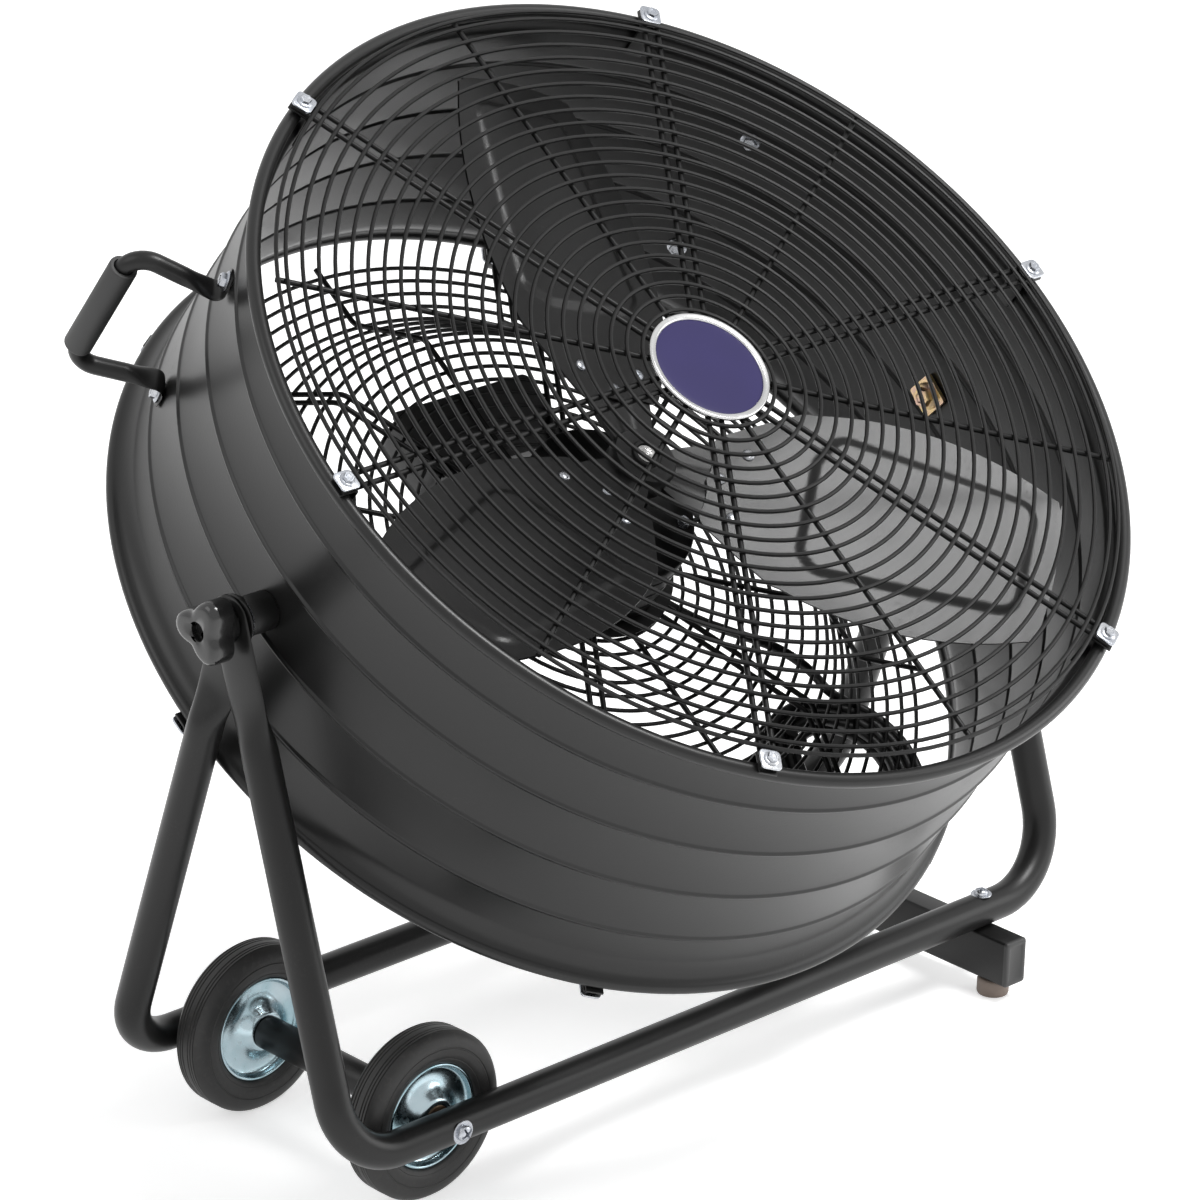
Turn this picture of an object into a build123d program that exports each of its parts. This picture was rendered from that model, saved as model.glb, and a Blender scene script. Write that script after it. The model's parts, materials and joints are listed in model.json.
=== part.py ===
from build123d import *
from math import atan2, cos, degrees, hypot, pi, radians, sin, sqrt, tan
import os

os.makedirs("parts", exist_ok=True)

# A drum fan on a wheeled tube stand, in millimetres, Z up. X is the tilt axis, the drum blows towards
# -Y and upwards, and the wheels are at -X. Drum pieces are placed by (axial, rho, phi): distance along
# the drum's axis from the pivot, distance from that axis, and angle round it from +X, seen from the front.

# ---- driving dimensions: drum ----
tilt = 54.2  # drum axis above the horizontal, as stored
floor_gap = 85.0  # under the rim when the drum stands upright
rim_radius = 330.0
pivot_height = rim_radius + floor_gap
bead_radius = 5.5
front_bead_at = 131.0
rear_bead_at = -116.0
skin_radius = rim_radius - 12.7
skin_wall = 1.2
front_flare_at = 118.0
rear_flare_at = -95.0
rib_first_at = 85.0
rib_pitch = 51.0
rib_count = 4
rib_width = 5.0
rib_rise = 1.4

# ---- driving dimensions: guards ----
ring_wire = 3.0
spoke_wire = 4.0
pair_gap = 10.0  # between the two wires of a double spoke, centre to centre
ring_pitch = 11.7
ring_inner = 49.3  # innermost ring, welded to every spoke like the outermost
ring_outer = rim_radius - 16.5
front_rise = 2.0  # how far the front guard's centre stands in front of its edge
rear_flat_at = -117.0
rear_cone_outer = rim_radius - 80.0
rear_cone_inner = rear_cone_outer - 55.0
rear_centre_at = -66.0
clip_size = 15.0
clip_plate = 2.0
ear_sheet = 1.6
ear_depth = 26.0
ear_width = 13.0
clip_at = rim_radius - 6.8
screw_across = 7.0
badge_radius = 45.0
badge_depth = 4.0
bezel_width = 5.0

# ---- driving dimensions: motor, switch box ----
plate_radius = 74.0
plate_sheet = 2.0
motor_radius = 64.0
motor_length = 56.0
bell_length = 12.0
bell_slope = 60.0
boss_radius = 20.0
boss_length = 8.0
shaft_radius = 8.0
box_length = 130.0
box_width = 60.0
box_depth = 34.0
box_wall = 2.0
box_at_u = 118.0
louvre_count = 5
speed_knob_radius = 15.0
speed_knob_depth = 13.0

# ---- driving dimensions: fan ----
blade_count = 3
blade_first = -43.3  # angle of the first blade's centre line
blade_sheet = 1.6
blade_tip = rim_radius - 34.0
blade_root = 46.0
root_half_width = 34.0
full_chord_at = 104.0
blade_pitch = 14.1
blade_twist = 7.0
blade_lean = 0.15
blade_mid_at = 70.0  # axial place of the blade's centre line at the pitch radius
pitch_radius = 0.6 * rim_radius
chord_rear = 62.7
chord_front = 67.0
chord_taper = 0.44
emboss_rise = 2.2
emboss_rear_margin = 22.0
emboss_front_margin = 12.0
emboss_tip_margin = 36.0
emboss_root_at = 120.0
arm_sheet = 4.0
arm_end = 92.0
hub_radius = 24.0
hub_rear_at = 28.0
hub_face_at = 47.0
nose_radius = 11.0
nose_at = 50.0
rivet_radius = 4.5
rivet_height = 2.0

# ---- driving dimensions: stand ----
tube_radius = 12.5
tube_wall = 1.5
leg_x = rim_radius + 16.4
run_y = 116.0
run_height = 61.0
wheel_corner = 45.0
foot_corner = 58.0
flat_width = 36.0
flat_thick = 4.4
flat_ends_at = 88.0
flat_starts_at = 52.0
oval_corners = 16
bend_step = 15.0  # degrees of a bend in each of its straight pieces
stud_radius = 5.0
spacer_radius = 13.5
spacer_end = leg_x - 6.2
washer_radius = 16.0
backing_size = 24.0
backing_sheet = 3.0
knob_boss_radius = 14.0
knob_boss_length = 7.0
knob_lobe_radius = 8.5
knob_lobe_at = 15.5
knob_core_radius = 15.0
knob_length = 19.0
knob_recess_radius = 6.0
knob_recess_depth = 6.0

# ---- driving dimensions: wheels, axle, foot bar ----
wheel_radius = run_height  # the axle crosses the tubes' centre lines
wheel_sides = 36
wheel_x = 93.4 - leg_x
wheel_y = 87.0
tyre_width = 28.0
tread_width = 16.0
wheel_rim_radius = 38.0
rim_width = 22.0
lip_width = 2.5
dish_depth = 6.0
dish_slope = 35.0
hub_outer = 12.0
hub_width = 31.0
axle_radius = 5.0
sleeve_radius = 12.0
foot_x = leg_x - 77.4
foot_bar_width = 21.0
foot_bar_height = 35.0
foot_bar_half = 150.0
foot_bar_wall = 2.0
cap_sheet = 3.0
pad_radius = 11.8
pad_y = 132.0

# ---- driving dimensions: handles ----
handle_phi = 140.5
handle_centre_at = 12.0
handle_reach = rim_radius + 56.0
grip_half = 58.0  # half the distance between the corners along the grip
foot_half = 48.0  # half the distance between the legs at the drum
handle_tube = 6.5
handle_wall = 1.5
handle_bend = 16.0
grip_radius = 10.0
grip_wall = 2.6
grip_length = 84.0
strap_length = 27.0
strap_width = 20.0
strap_sheet = 2.5
strap_bolt = 15.0  # bolt from the leg, outwards along the drum
handle_bolt_radius = 2.5
handle_head_across = 10.0
handle_head_height = 4.0

# ---- clearances ----
seat = 0.05  # between pieces that bear on each other
running = 0.08  # radial, where one piece turns on another
bolt_hole = 0.2  # radial, round bolts that only clamp
turning_gap = 0.3  # between faces that slide past each other

# ---- frames ----
slope = radians(tilt)
pivot_y = (front_bead_at + rear_bead_at) / 2 * cos(slope)
pivot = Vector(0, pivot_y, pivot_height)
drum_dir = Vector(0, -cos(slope), sin(slope))
up_dir = Vector(0, sin(slope), cos(slope))
side_dir = Vector(1, 0, 0)
bead_centre = rim_radius - bead_radius


def radial(phi):
    """Unit vector out from the drum's axis."""
    return side_dir * cos(radians(phi)) + up_dir * sin(radians(phi))


def around(phi):
    """Unit vector round the drum's axis, towards larger angles."""
    return up_dir * cos(radians(phi)) - side_dir * sin(radians(phi))


def on_drum(axial, rho=0.0, phi=0.0):
    return pivot + drum_dir * axial + radial(phi) * rho


def face_plane(axial, rho=0.0, phi=0.0):
    """A plane square to the drum's axis, its x pointing outwards."""
    return Plane(origin=on_drum(axial, rho, phi), x_dir=radial(phi), z_dir=drum_dir)


def wall_plane(axial, rho, phi):
    """A plane square to the drum's radius, its x along the drum's axis."""
    return Plane(origin=on_drum(axial, rho, phi), x_dir=drum_dir, z_dir=radial(phi))


def section_plane(phi=0.0):
    """A plane through the drum's axis: x is rho, y is axial."""
    return Plane(origin=pivot, x_dir=radial(phi), z_dir=around(phi) * -1)


def side_plane(x):
    """A plane square to the tilt axis at a given x, facing outwards."""
    return Plane(origin=(x, pivot_y, pivot_height), x_dir=(0, 1, 0), z_dir=(1 if x > 0 else -1, 0, 0))


def sides_of(radius):
    """Sides that stand for a circle, so that no flat is more than a few tenths off the round."""
    for limit, count in ((8, 10), (20, 16), (50, 24), (110, 36)):
        if radius < limit:
            return count
    return 48


def rod(radius):
    """A round outline, its corners on the circle."""
    return RegularPolygon(radius, sides_of(radius))


def bore(radius):
    """A round opening, its flats on the circle, so that what turns in it stays clear."""
    return RegularPolygon(radius, sides_of(radius), major_radius=False, mode=Mode.SUBTRACT)


def turned(outline, plane_at, count, extras=(), extra_radius=0.0):
    """A profile turned about the y axis of its planes, in count flats. plane_at gives the plane at an angle."""
    halves = []
    for start in (0, 180):
        with BuildPart() as half:
            for number in range(count // 2 + 1):
                with BuildSketch(plane_at(start + 360 / count * number)):
                    with BuildLine():
                        Polyline(*outline, close=True)
                    make_face()
                    for place in extras:
                        with Locations(place):
                            RegularPolygon(extra_radius, 6, rotation=30)
            loft(ruled=True)
        halves.append(half.part)
    return halves


def save(builder, name):
    builder.part.label = name
    export_step(builder.part, f"parts/{name}.step")


sides = (("left", -1), ("right", 1))

# ======== stand ========
leg_reach = hypot(run_y, pivot_height - run_height)
axle_hole = axle_radius + bolt_hole
bar_top = run_height - tube_radius - seat
pad_height = bar_top - foot_bar_height
screw_radius = 3.0


def bent_tube(points, radii, outer, inner=0.0):
    """A tube through points in one plane, with a bend of its own radius at each inner point."""
    across = (points[1] - points[0]).cross(points[2] - points[1]).normalized()
    route = [points[0]]
    for number, radius in enumerate(radii):
        before, corner, after = points[number], points[number + 1], points[number + 2]
        heading, following = (corner - before).normalized(), (after - corner).normalized()
        turn = heading.get_angle(following)
        start = corner - heading * (radius * tan(radians(turn / 2)))
        centre = start + across.cross(heading) * radius
        pieces = round(turn / bend_step)
        for piece in range(pieces + 1):
            spread = 1 / cos(radians(turn / pieces / 2)) if 0 < piece < pieces else 1
            angle = radians(turn * piece / pieces)
            inward = across.cross(heading) * (radius * cos(angle) * spread)
            route.append(centre - inward + heading * (radius * sin(angle) * spread))
    route.append(points[-1])
    with BuildLine() as path:
        Polyline(*route)
    with BuildPart() as tube:
        with BuildSketch(Plane(origin=route[0], x_dir=across, z_dir=route[1] - route[0])):
            RegularPolygon(outer, sides_of(outer), rotation=180 / sides_of(outer))
            if inner:
                RegularPolygon(inner, sides_of(inner) // 2, mode=Mode.SUBTRACT)
        sweep(path=path.wire(), transition=Transition.RIGHT)
    return tube.part


def oval(half_x, half_y):
    """Corner points of a tube's outline where it is pressed from round to flat."""
    corners = range(oval_corners)
    turn = 2 * pi / oval_corners
    return [(half_x * cos(turn * n), half_y * sin(turn * n)) for n in corners]


def tube_frame(name, side, eye_shift):
    """One U-shaped tube from pivot to pivot. side is -1 at the front, eye_shift sets its eyes in or out."""
    down = Vector(0, side * run_y, run_height - pivot_height).normalized()
    frame = Plane(origin=pivot, x_dir=side_dir, z_dir=side_dir.cross(down))
    route = [
        frame.from_local_coords(Vector(x, reach, 0))
        for x, reach in (
            (-leg_x, flat_ends_at),
            (-leg_x, leg_reach),
            (leg_x, leg_reach),
            (leg_x, flat_ends_at),
        )
    ]
    run = bent_tube(route, (wheel_corner, foot_corner), tube_radius, tube_radius - tube_wall)
    with BuildPart() as tube:
        add(run)
        for x in (-leg_x, leg_x):
            eye_x = x + (eye_shift if x > 0 else -eye_shift)
            round_end = frame.from_local_coords(Vector(x, flat_ends_at, 0))
            flat_end = frame.from_local_coords(Vector(eye_x, flat_starts_at, 0))
            with BuildSketch(Plane(origin=round_end, x_dir=side_dir, z_dir=down * -1)):
                with BuildLine():
                    Polyline(*oval(tube_radius, tube_radius), close=True)
                make_face()
            with BuildSketch(Plane(origin=flat_end, x_dir=side_dir, z_dir=down * -1)):
                with BuildLine():
                    Polyline(*oval(flat_thick / 2, flat_width / 2), close=True)
                make_face()
            loft(ruled=True)
            eye_face = frame.from_local_coords(Vector(eye_x - flat_thick / 2, 0, 0))
            with BuildSketch(Plane(origin=eye_face, x_dir=down, z_dir=side_dir)):
                rod(flat_width / 2)
                with Locations((flat_starts_at / 2, 0)):
                    Rectangle(flat_starts_at, flat_width)
                bore(stud_radius + bolt_hole)
            extrude(amount=flat_thick)
        with BuildSketch(Plane(origin=(wheel_x, pivot_y + side * run_y, run_height), z_dir=(0, 1, 0))):
            rod(axle_radius + 2 * bolt_hole)
        extrude(amount=2 * tube_radius, both=True, mode=Mode.SUBTRACT)
        with BuildSketch(Plane(origin=(foot_x, pivot_y + side * run_y, run_height))):
            rod(screw_radius + 2 * bolt_hole)
        extrude(amount=2 * tube_radius, both=True, mode=Mode.SUBTRACT)
    save(tube, name)


eye_shift = (flat_thick + seat) / 2
tube_frame("front_tube_frame", -1, eye_shift)
tube_frame("rear_tube_frame", 1, -eye_shift)

# cross bar at the foot end, open box section, standing on two rubber pads
with BuildPart() as foot_bar:
    bar_start = (foot_x, pivot_y - foot_bar_half, pad_height + foot_bar_height / 2)
    bar_plane = Plane(origin=bar_start, x_dir=(1, 0, 0), z_dir=(0, 1, 0))
    with BuildSketch(bar_plane):
        Rectangle(foot_bar_width, foot_bar_height)
        Rectangle(foot_bar_width - 2 * foot_bar_wall, foot_bar_height - 2 * foot_bar_wall, mode=Mode.SUBTRACT)
    extrude(amount=2 * foot_bar_half)
    with BuildSketch(Plane(origin=(foot_x, pivot_y, bar_top))):
        with Locations((0, -run_y), (0, run_y)):
            rod(screw_radius + 2 * bolt_hole)
    extrude(amount=-2 * foot_bar_wall, mode=Mode.SUBTRACT)
save(foot_bar, "foot_bar")

with BuildPart() as bar_end_caps:
    for end in (-1, 1):
        cap_start = (foot_x, pivot_y + end * foot_bar_half, pad_height + foot_bar_height / 2)
        cap_plane = Plane(origin=cap_start, x_dir=(1, 0, 0), z_dir=(0, end, 0))
        with BuildSketch(cap_plane):
            Rectangle(foot_bar_width, foot_bar_height)
        extrude(amount=cap_sheet, taper=15)
save(bar_end_caps, "bar_end_caps")

with BuildPart() as foot_pads:
    with BuildSketch(Plane(origin=(foot_x, pivot_y, 0))):
        with Locations((0, -pad_y), (0, pad_y)):
            rod(pad_radius)
    extrude(amount=pad_height)
save(foot_pads, "foot_pads")

# bolts that hold the tubes down on the bar
with BuildPart() as foot_bar_bolts:
    for side in (-1, 1):
        bolt_y = pivot_y + side * run_y
        with BuildSketch(Plane(origin=(foot_x, bolt_y, bar_top - 3 * foot_bar_wall))):
            rod(screw_radius)
        extrude(amount=3 * foot_bar_wall + 2 * tube_radius + seat)
        with BuildSketch(Plane(origin=(foot_x, bolt_y, run_height + tube_radius))):
            RegularPolygon(screw_radius * 1.8, 8)
        extrude(amount=screw_radius)
save(foot_bar_bolts, "foot_bar_bolts")

# axle: one rod through both tubes, with a sleeve between the wheels
axle_origin = Vector(wheel_x, pivot_y, run_height)
axle_half = run_y + tube_radius
hub_inner_y = wheel_y - hub_width / 2
hub_outer_y = wheel_y + hub_width / 2

with BuildPart() as axle_rod:
    with BuildSketch(Plane(origin=axle_origin, z_dir=(0, 1, 0))):
        rod(axle_radius)
    extrude(amount=axle_half, both=True)
    for side in (-1, 1):
        head = Plane(origin=axle_origin + Vector(0, side * axle_half, 0), z_dir=(0, side, 0))
        with BuildSketch(head):
            RegularPolygon(axle_radius * 1.9, 6)
        extrude(amount=axle_radius * 1.2)
save(axle_rod, "axle_rod")

with BuildPart() as axle_sleeve:
    with BuildSketch(Plane(origin=axle_origin, z_dir=(0, 1, 0))):
        rod(sleeve_radius)
        bore(axle_hole)
    extrude(amount=hub_inner_y - turning_gap, both=True)
save(axle_sleeve, "axle_sleeve")

with BuildPart() as wheel_bushes:
    for side in (-1, 1):
        start = hub_outer_y + turning_gap
        bush = Plane(origin=axle_origin + Vector(0, side * start, 0), z_dir=(0, side, 0))
        with BuildSketch(bush):
            rod(hub_outer - 2)
            bore(axle_hole)
        extrude(amount=run_y - tube_radius - seat - start)
save(wheel_bushes, "wheel_bushes")


def wheel(name, side):
    """A pressed rim and its tyre, turning on the axle rod."""
    centre = axle_origin + Vector(0, side * wheel_y, 0)
    half, lip = tyre_width / 2, rim_width / 2
    shoulder = (tyre_width - tread_width) / 2

    def spoke_plane(angle):
        out = Vector(0, 0, 1).rotate(Axis.Y, angle)
        return Plane(origin=centre, x_dir=out, z_dir=out.cross(Vector(0, 1, 0)))

    tyre_outline = [
        (wheel_rim_radius, -lip),
        (wheel_rim_radius + 4, -half),
        (wheel_radius - shoulder / 2, -half),
        (wheel_radius, -tread_width / 2),
        (wheel_radius, tread_width / 2),
        (wheel_radius - shoulder / 2, half),
        (wheel_rim_radius + 4, half),
        (wheel_rim_radius, lip),
    ]
    with BuildPart() as rim:
        with BuildSketch(Plane(origin=centre, x_dir=(0, 0, 1), z_dir=(0, 1, 0))):
            RegularPolygon(wheel_rim_radius, wheel_sides)
        extrude(amount=lip, both=True)
        for end in (-1, 1):
            face = Plane(origin=centre + Vector(0, end * lip, 0), x_dir=(0, 0, 1), z_dir=(0, -end, 0))
            with BuildSketch(face):
                RegularPolygon(wheel_rim_radius - lip_width, wheel_sides)
            extrude(amount=dish_depth, taper=dish_slope, mode=Mode.SUBTRACT)
        with BuildSketch(Plane(origin=centre, x_dir=(0, 0, 1), z_dir=(0, 1, 0))):
            rod(hub_outer)
        extrude(amount=hub_width / 2, both=True)
        with BuildSketch(Plane(origin=centre, x_dir=(0, 0, 1), z_dir=(0, 1, 0))):
            RegularPolygon(axle_radius + running, sides_of(hub_outer), major_radius=False)
        extrude(amount=hub_width, both=True, mode=Mode.SUBTRACT)
    save(rim, f"{name}_rim")
    tyre_halves = turned(tyre_outline, spoke_plane, wheel_sides)
    with BuildPart() as tyre:
        add(tyre_halves)
    save(tyre, f"{name}_tyre")


wheel("front_wheel", -1)
wheel("rear_wheel", 1)

# ======== drum ========
front_bead = (bead_centre, front_bead_at)
rear_bead = (bead_centre, rear_bead_at)
inner_radius = skin_radius - skin_wall
inner_flat = inner_radius * cos(pi / sides_of(rim_radius))
handle_feet = tuple((handle_centre_at + end * foot_half, end) for end in (-1, 1))

flare = 0.5 * bead_radius
drum_outline = [(skin_radius, rear_flare_at)]
for number in reversed(range(rib_count)):
    rib_at = rib_first_at - number * rib_pitch
    drum_outline.append((skin_radius, rib_at - rib_width / 2))
    drum_outline.append((skin_radius + rib_rise, rib_at))
    drum_outline.append((skin_radius, rib_at + rib_width / 2))
drum_outline += [
    (skin_radius, front_flare_at),
    (bead_centre, front_bead_at - flare),
    (bead_centre - skin_wall, front_bead_at - flare),
    (inner_radius, front_flare_at),
    (inner_radius, rear_flare_at),
    (bead_centre - skin_wall, rear_bead_at + flare),
    (bead_centre, rear_bead_at + flare),
]
drum_halves = turned(drum_outline, section_plane, sides_of(rim_radius), (front_bead, rear_bead), bead_radius)

with BuildPart() as drum_shell:
    add(drum_halves)
    for phi in (handle_phi, 180 - handle_phi):
        for foot_at, end in handle_feet:
            with BuildSketch(wall_plane(foot_at + end * strap_bolt, skin_radius, phi)):
                rod(handle_bolt_radius + 2 * bolt_hole)
            extrude(amount=4 * skin_wall, both=True, mode=Mode.SUBTRACT)
    for name, side in sides:
        with BuildSketch(side_plane(side * skin_radius)):
            rod(stud_radius + 2 * bolt_hole)
        extrude(amount=4 * skin_wall, both=True, mode=Mode.SUBTRACT)
save(drum_shell, "drum_shell")

# ======== pivots ========
backing_face = sqrt(inner_flat**2 - (backing_size * 0.71) ** 2) - seat
washer_start = spacer_end + turning_gap
eye_inner = leg_x - eye_shift - flat_thick / 2
eye_outer = leg_x + eye_shift + flat_thick / 2
knob_start = eye_outer + turning_gap
knob_end = knob_start + knob_boss_length + knob_length

with BuildPart() as pivot_studs:
    for name, side in sides:
        with BuildSketch(side_plane(side * (backing_face - backing_sheet))):
            rod(stud_radius)
        extrude(amount=knob_start + knob_boss_length - backing_face + backing_sheet)
        with BuildSketch(side_plane(side * (backing_face - backing_sheet))):
            Rectangle(backing_size, backing_size, rotation=45)
        extrude(amount=backing_sheet)
        with BuildSketch(side_plane(side * (backing_face - backing_sheet))):
            RegularPolygon(stud_radius * 1.8, 6)
        extrude(amount=-stud_radius)
save(pivot_studs, "pivot_studs")

with BuildPart() as pivot_spacers:
    for name, side in sides:
        with BuildSketch(side_plane(side * (skin_radius + seat))):
            rod(spacer_radius)
            bore(stud_radius + running)
        extrude(amount=spacer_end - skin_radius - seat)
save(pivot_spacers, "pivot_spacers")

with BuildPart() as pivot_washers:
    for name, side in sides:
        with BuildSketch(side_plane(side * washer_start)):
            rod(washer_radius)
            bore(stud_radius + bolt_hole)
        extrude(amount=eye_inner - seat - washer_start)
save(pivot_washers, "pivot_washers")

for name, side in sides:
    with BuildPart() as knob:
        with BuildSketch(side_plane(side * knob_start)):
            rod(knob_boss_radius)
        extrude(amount=knob_boss_length)
        with BuildSketch(side_plane(side * (knob_start + knob_boss_length))) as lobes:
            rod(knob_core_radius)
            with PolarLocations(knob_lobe_at, 3):
                rod(knob_lobe_radius)
        extrude(amount=knob_length)
        with BuildSketch(side_plane(side * knob_end)):
            rod(knob_recess_radius)
        extrude(amount=-knob_recess_depth, mode=Mode.SUBTRACT)
        with BuildSketch(side_plane(side * knob_start)):
            rod(stud_radius + 4 * running)
        extrude(amount=knob_boss_length + seat, mode=Mode.SUBTRACT)
    save(knob, f"{name}_knob")

# ======== handles ========
handles = (("left", handle_phi), ("right", 180 - handle_phi))
strap_base = skin_radius + seat
strap_top = strap_base + strap_sheet
strap_half_angle = degrees(strap_width / 2 / skin_radius)
strap_inner = handle_tube + 1

foot_rho = strap_base + strap_sheet / 2
handle_route = [
    (foot_rho, handle_centre_at - foot_half),
    (handle_reach, handle_centre_at - grip_half),
    (handle_reach, handle_centre_at + grip_half),
    (foot_rho, handle_centre_at + foot_half),
]
bars = [
    bent_tube(
        [on_drum(axial, rho, phi) for rho, axial in handle_route],
        (handle_bend, handle_bend),
        handle_tube,
        handle_tube - handle_wall,
    )
    for name, phi in handles
]

with BuildPart() as handle_bars:
    for name, phi in handles:
        for foot_at, end in handle_feet:
            with BuildSketch(face_plane(foot_at - end * strap_inner, 0, phi)):
                with BuildLine():
                    outer_arc = CenterArc((0, 0), strap_top, -strap_half_angle, 2 * strap_half_angle)
                    inner_arc = CenterArc((0, 0), strap_base, -strap_half_angle, 2 * strap_half_angle)
                    Line(outer_arc @ 0, inner_arc @ 0)
                    Line(outer_arc @ 1, inner_arc @ 1)
                make_face()
            extrude(amount=end * strap_length)
            with BuildSketch(wall_plane(foot_at + end * strap_bolt, skin_radius, phi)):
                rod(handle_bolt_radius + 2 * bolt_hole)
            extrude(amount=2 * strap_sheet, mode=Mode.SUBTRACT)
    add(bars)
save(handle_bars, "handle_bars")

with BuildPart() as grips:
    for name, phi in handles:
        with BuildSketch(face_plane(handle_centre_at - grip_length / 2, handle_reach, phi)):
            rod(grip_radius)
            bore(grip_radius - grip_wall)
        extrude(amount=grip_length)
save(grips, "grips")

nut_face = sqrt(inner_flat**2 - (handle_head_across / 2) ** 2) - seat
with BuildPart() as handle_bolts:
    for name, phi in handles:
        for foot_at, end in handle_feet:
            bolt_at = foot_at + end * strap_bolt
            with BuildSketch(wall_plane(bolt_at, nut_face, phi)):
                rod(handle_bolt_radius)
            extrude(amount=strap_top - nut_face)
            with BuildSketch(wall_plane(bolt_at, strap_top, phi)):
                RegularPolygon(handle_head_across / 2, 6, major_radius=False)
            extrude(amount=handle_head_height)
            with BuildSketch(wall_plane(bolt_at, nut_face, phi)):
                RegularPolygon(handle_head_across / 2, 6, major_radius=False)
            extrude(amount=-handle_head_height)
save(handle_bolts, "handle_bolts")

# ======== guards ========
spoke_half = spoke_wire / 2
ring_back_half = ring_wire / 2
ring_section = ring_wire / sqrt(3)  # corner radius of a ring wire's three-sided section
weld = 0.3
ear_outer = sqrt(inner_flat**2 - (ear_width / 2) ** 2) - seat
ear_end = clip_at + clip_size / 2
front_ear_at = front_bead_at + bead_radius + seat
rear_ear_at = rear_bead_at - bead_radius - seat
front_edge_at = front_ear_at + ear_sheet + seat + spoke_half
rear_edge_at = rear_ear_at - ear_sheet - seat - spoke_half
spoke_outer = ear_end - 2
spoke_inner = 40.0
rear_drop_from = ear_outer - 3
rear_drop_to = rear_drop_from - 8
cone_angle = atan2(rear_centre_at - rear_flat_at, rear_cone_outer - rear_cone_inner)


def ring_sides(rho):
    """Sides of a guard ring: enough to look round without crowding the mesh."""
    return 12 if rho < 0.6 * rim_radius else 24


def front_profile(rho):
    """Axial place of the front spokes' centre line."""
    return front_edge_at + front_rise * (1 - rho / spoke_outer)


def front_seat(rho):
    """Axial place of the front spokes' face that carries a ring."""
    return front_profile(rho) + spoke_half


def rear_seat(rho):
    """Axial place of the rear spokes' outer face that carries a ring."""
    if rho < rear_cone_inner - 1.5 * ring_back_half:
        return rear_centre_at - spoke_half
    if rho > rear_cone_outer:
        return rear_flat_at - spoke_half
    share = (rho - rear_cone_inner) / (rear_cone_outer - rear_cone_inner)
    along = rear_centre_at + share * (rear_flat_at - rear_centre_at)
    return along - spoke_half / cos(cone_angle) - ring_back_half * tan(cone_angle)


def guard_ring(rho, back_at, outward):
    """A ring of wire with its flat side at back_at and its point towards outward, 1 for the front."""
    count = ring_sides(rho)
    centre = face_plane(back_at + outward * ring_section / 2)
    turn = 360 / count
    corners = [(rho * cos(radians(turn * n)), rho * sin(radians(turn * n))) for n in range(count)]
    start = ((corners[0][0] + corners[-1][0]) / 2, (corners[0][1] + corners[-1][1]) / 2)
    with BuildLine(centre) as path:
        Polyline(start, *corners, start)
    with BuildPart() as ring:
        with BuildSketch(Plane(origin=path.wire() @ 0, x_dir=drum_dir * outward, z_dir=path.wire() % 0)):
            RegularPolygon(ring_section, 3)
        sweep(path=path.wire(), transition=Transition.RIGHT)
    return ring.part


def spoke(points, phi, aside):
    """A square wire through (rho, axial) points in the plane at phi, moved aside from it."""
    flat = section_plane(phi)
    flat.origin = flat.origin + around(phi) * aside
    with BuildLine(flat) as path:
        Polyline(*points)
    with BuildPart() as wire:
        with BuildSketch(Plane(origin=path.wire() @ 0, x_dir=around(phi), z_dir=path.wire() % 0)):
            Rectangle(spoke_wire, spoke_wire)
        sweep(path=path.wire(), transition=Transition.RIGHT)
    return wire.part


def guard_spokes(points, single_points):
    """Six pairs of wires that reach the clips and six single wires halfway between them."""
    wires = []
    for number in range(6):
        for aside in (-pair_gap / 2, pair_gap / 2):
            wires.append(spoke(points, 60 * number, aside))
        wires.append(spoke(single_points, 60 * number + 30, 0))
    return wires


front_points = [(spoke_outer, front_profile(spoke_outer)), (spoke_inner, front_profile(spoke_inner))]
rear_points = [
    (spoke_outer, rear_edge_at),
    (rear_drop_from, rear_edge_at),
    (rear_drop_to, rear_flat_at),
    (rear_cone_outer, rear_flat_at),
    (rear_cone_inner, rear_centre_at),
    (spoke_inner, rear_centre_at),
]
free_rings = int((ring_outer - ring_inner) / ring_pitch)
front_ring_radii = [ring_inner + ring_pitch * n for n in range(1, free_rings + 1)]
rear_ring_radii = [rho for rho in front_ring_radii if rho < rear_drop_to - ring_wire]

front_wires = guard_spokes(front_points, [(ring_outer, front_profile(ring_outer)), front_points[-1]])
front_hoops = [guard_ring(rho, front_seat(rho) - weld, 1) for rho in (ring_inner, ring_outer)]
with BuildPart() as front_guard_spokes:
    add(front_wires)
    add(front_hoops)
save(front_guard_spokes, "front_guard_spokes")

front_rings = [guard_ring(rho, front_seat(rho) + seat, 1) for rho in front_ring_radii]
with BuildPart() as front_guard_rings:
    add(front_rings)
save(front_guard_rings, "front_guard_rings")

rear_wires = guard_spokes(rear_points, rear_points[2:])
rear_hoops = [
    guard_ring(ring_inner, rear_seat(ring_inner) + weld, -1),
    guard_ring(rear_drop_to - ring_wire, rear_flat_at - spoke_half + weld, -1),
]
with BuildPart() as rear_guard_spokes:
    add(rear_wires)
    add(rear_hoops)
save(rear_guard_spokes, "rear_guard_spokes")

rear_rings = [guard_ring(rho, rear_seat(rho) - seat, -1) for rho in rear_ring_radii[:-1]]
with BuildPart() as rear_guard_rings:
    add(rear_rings)
save(rear_guard_rings, "rear_guard_rings")

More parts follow.
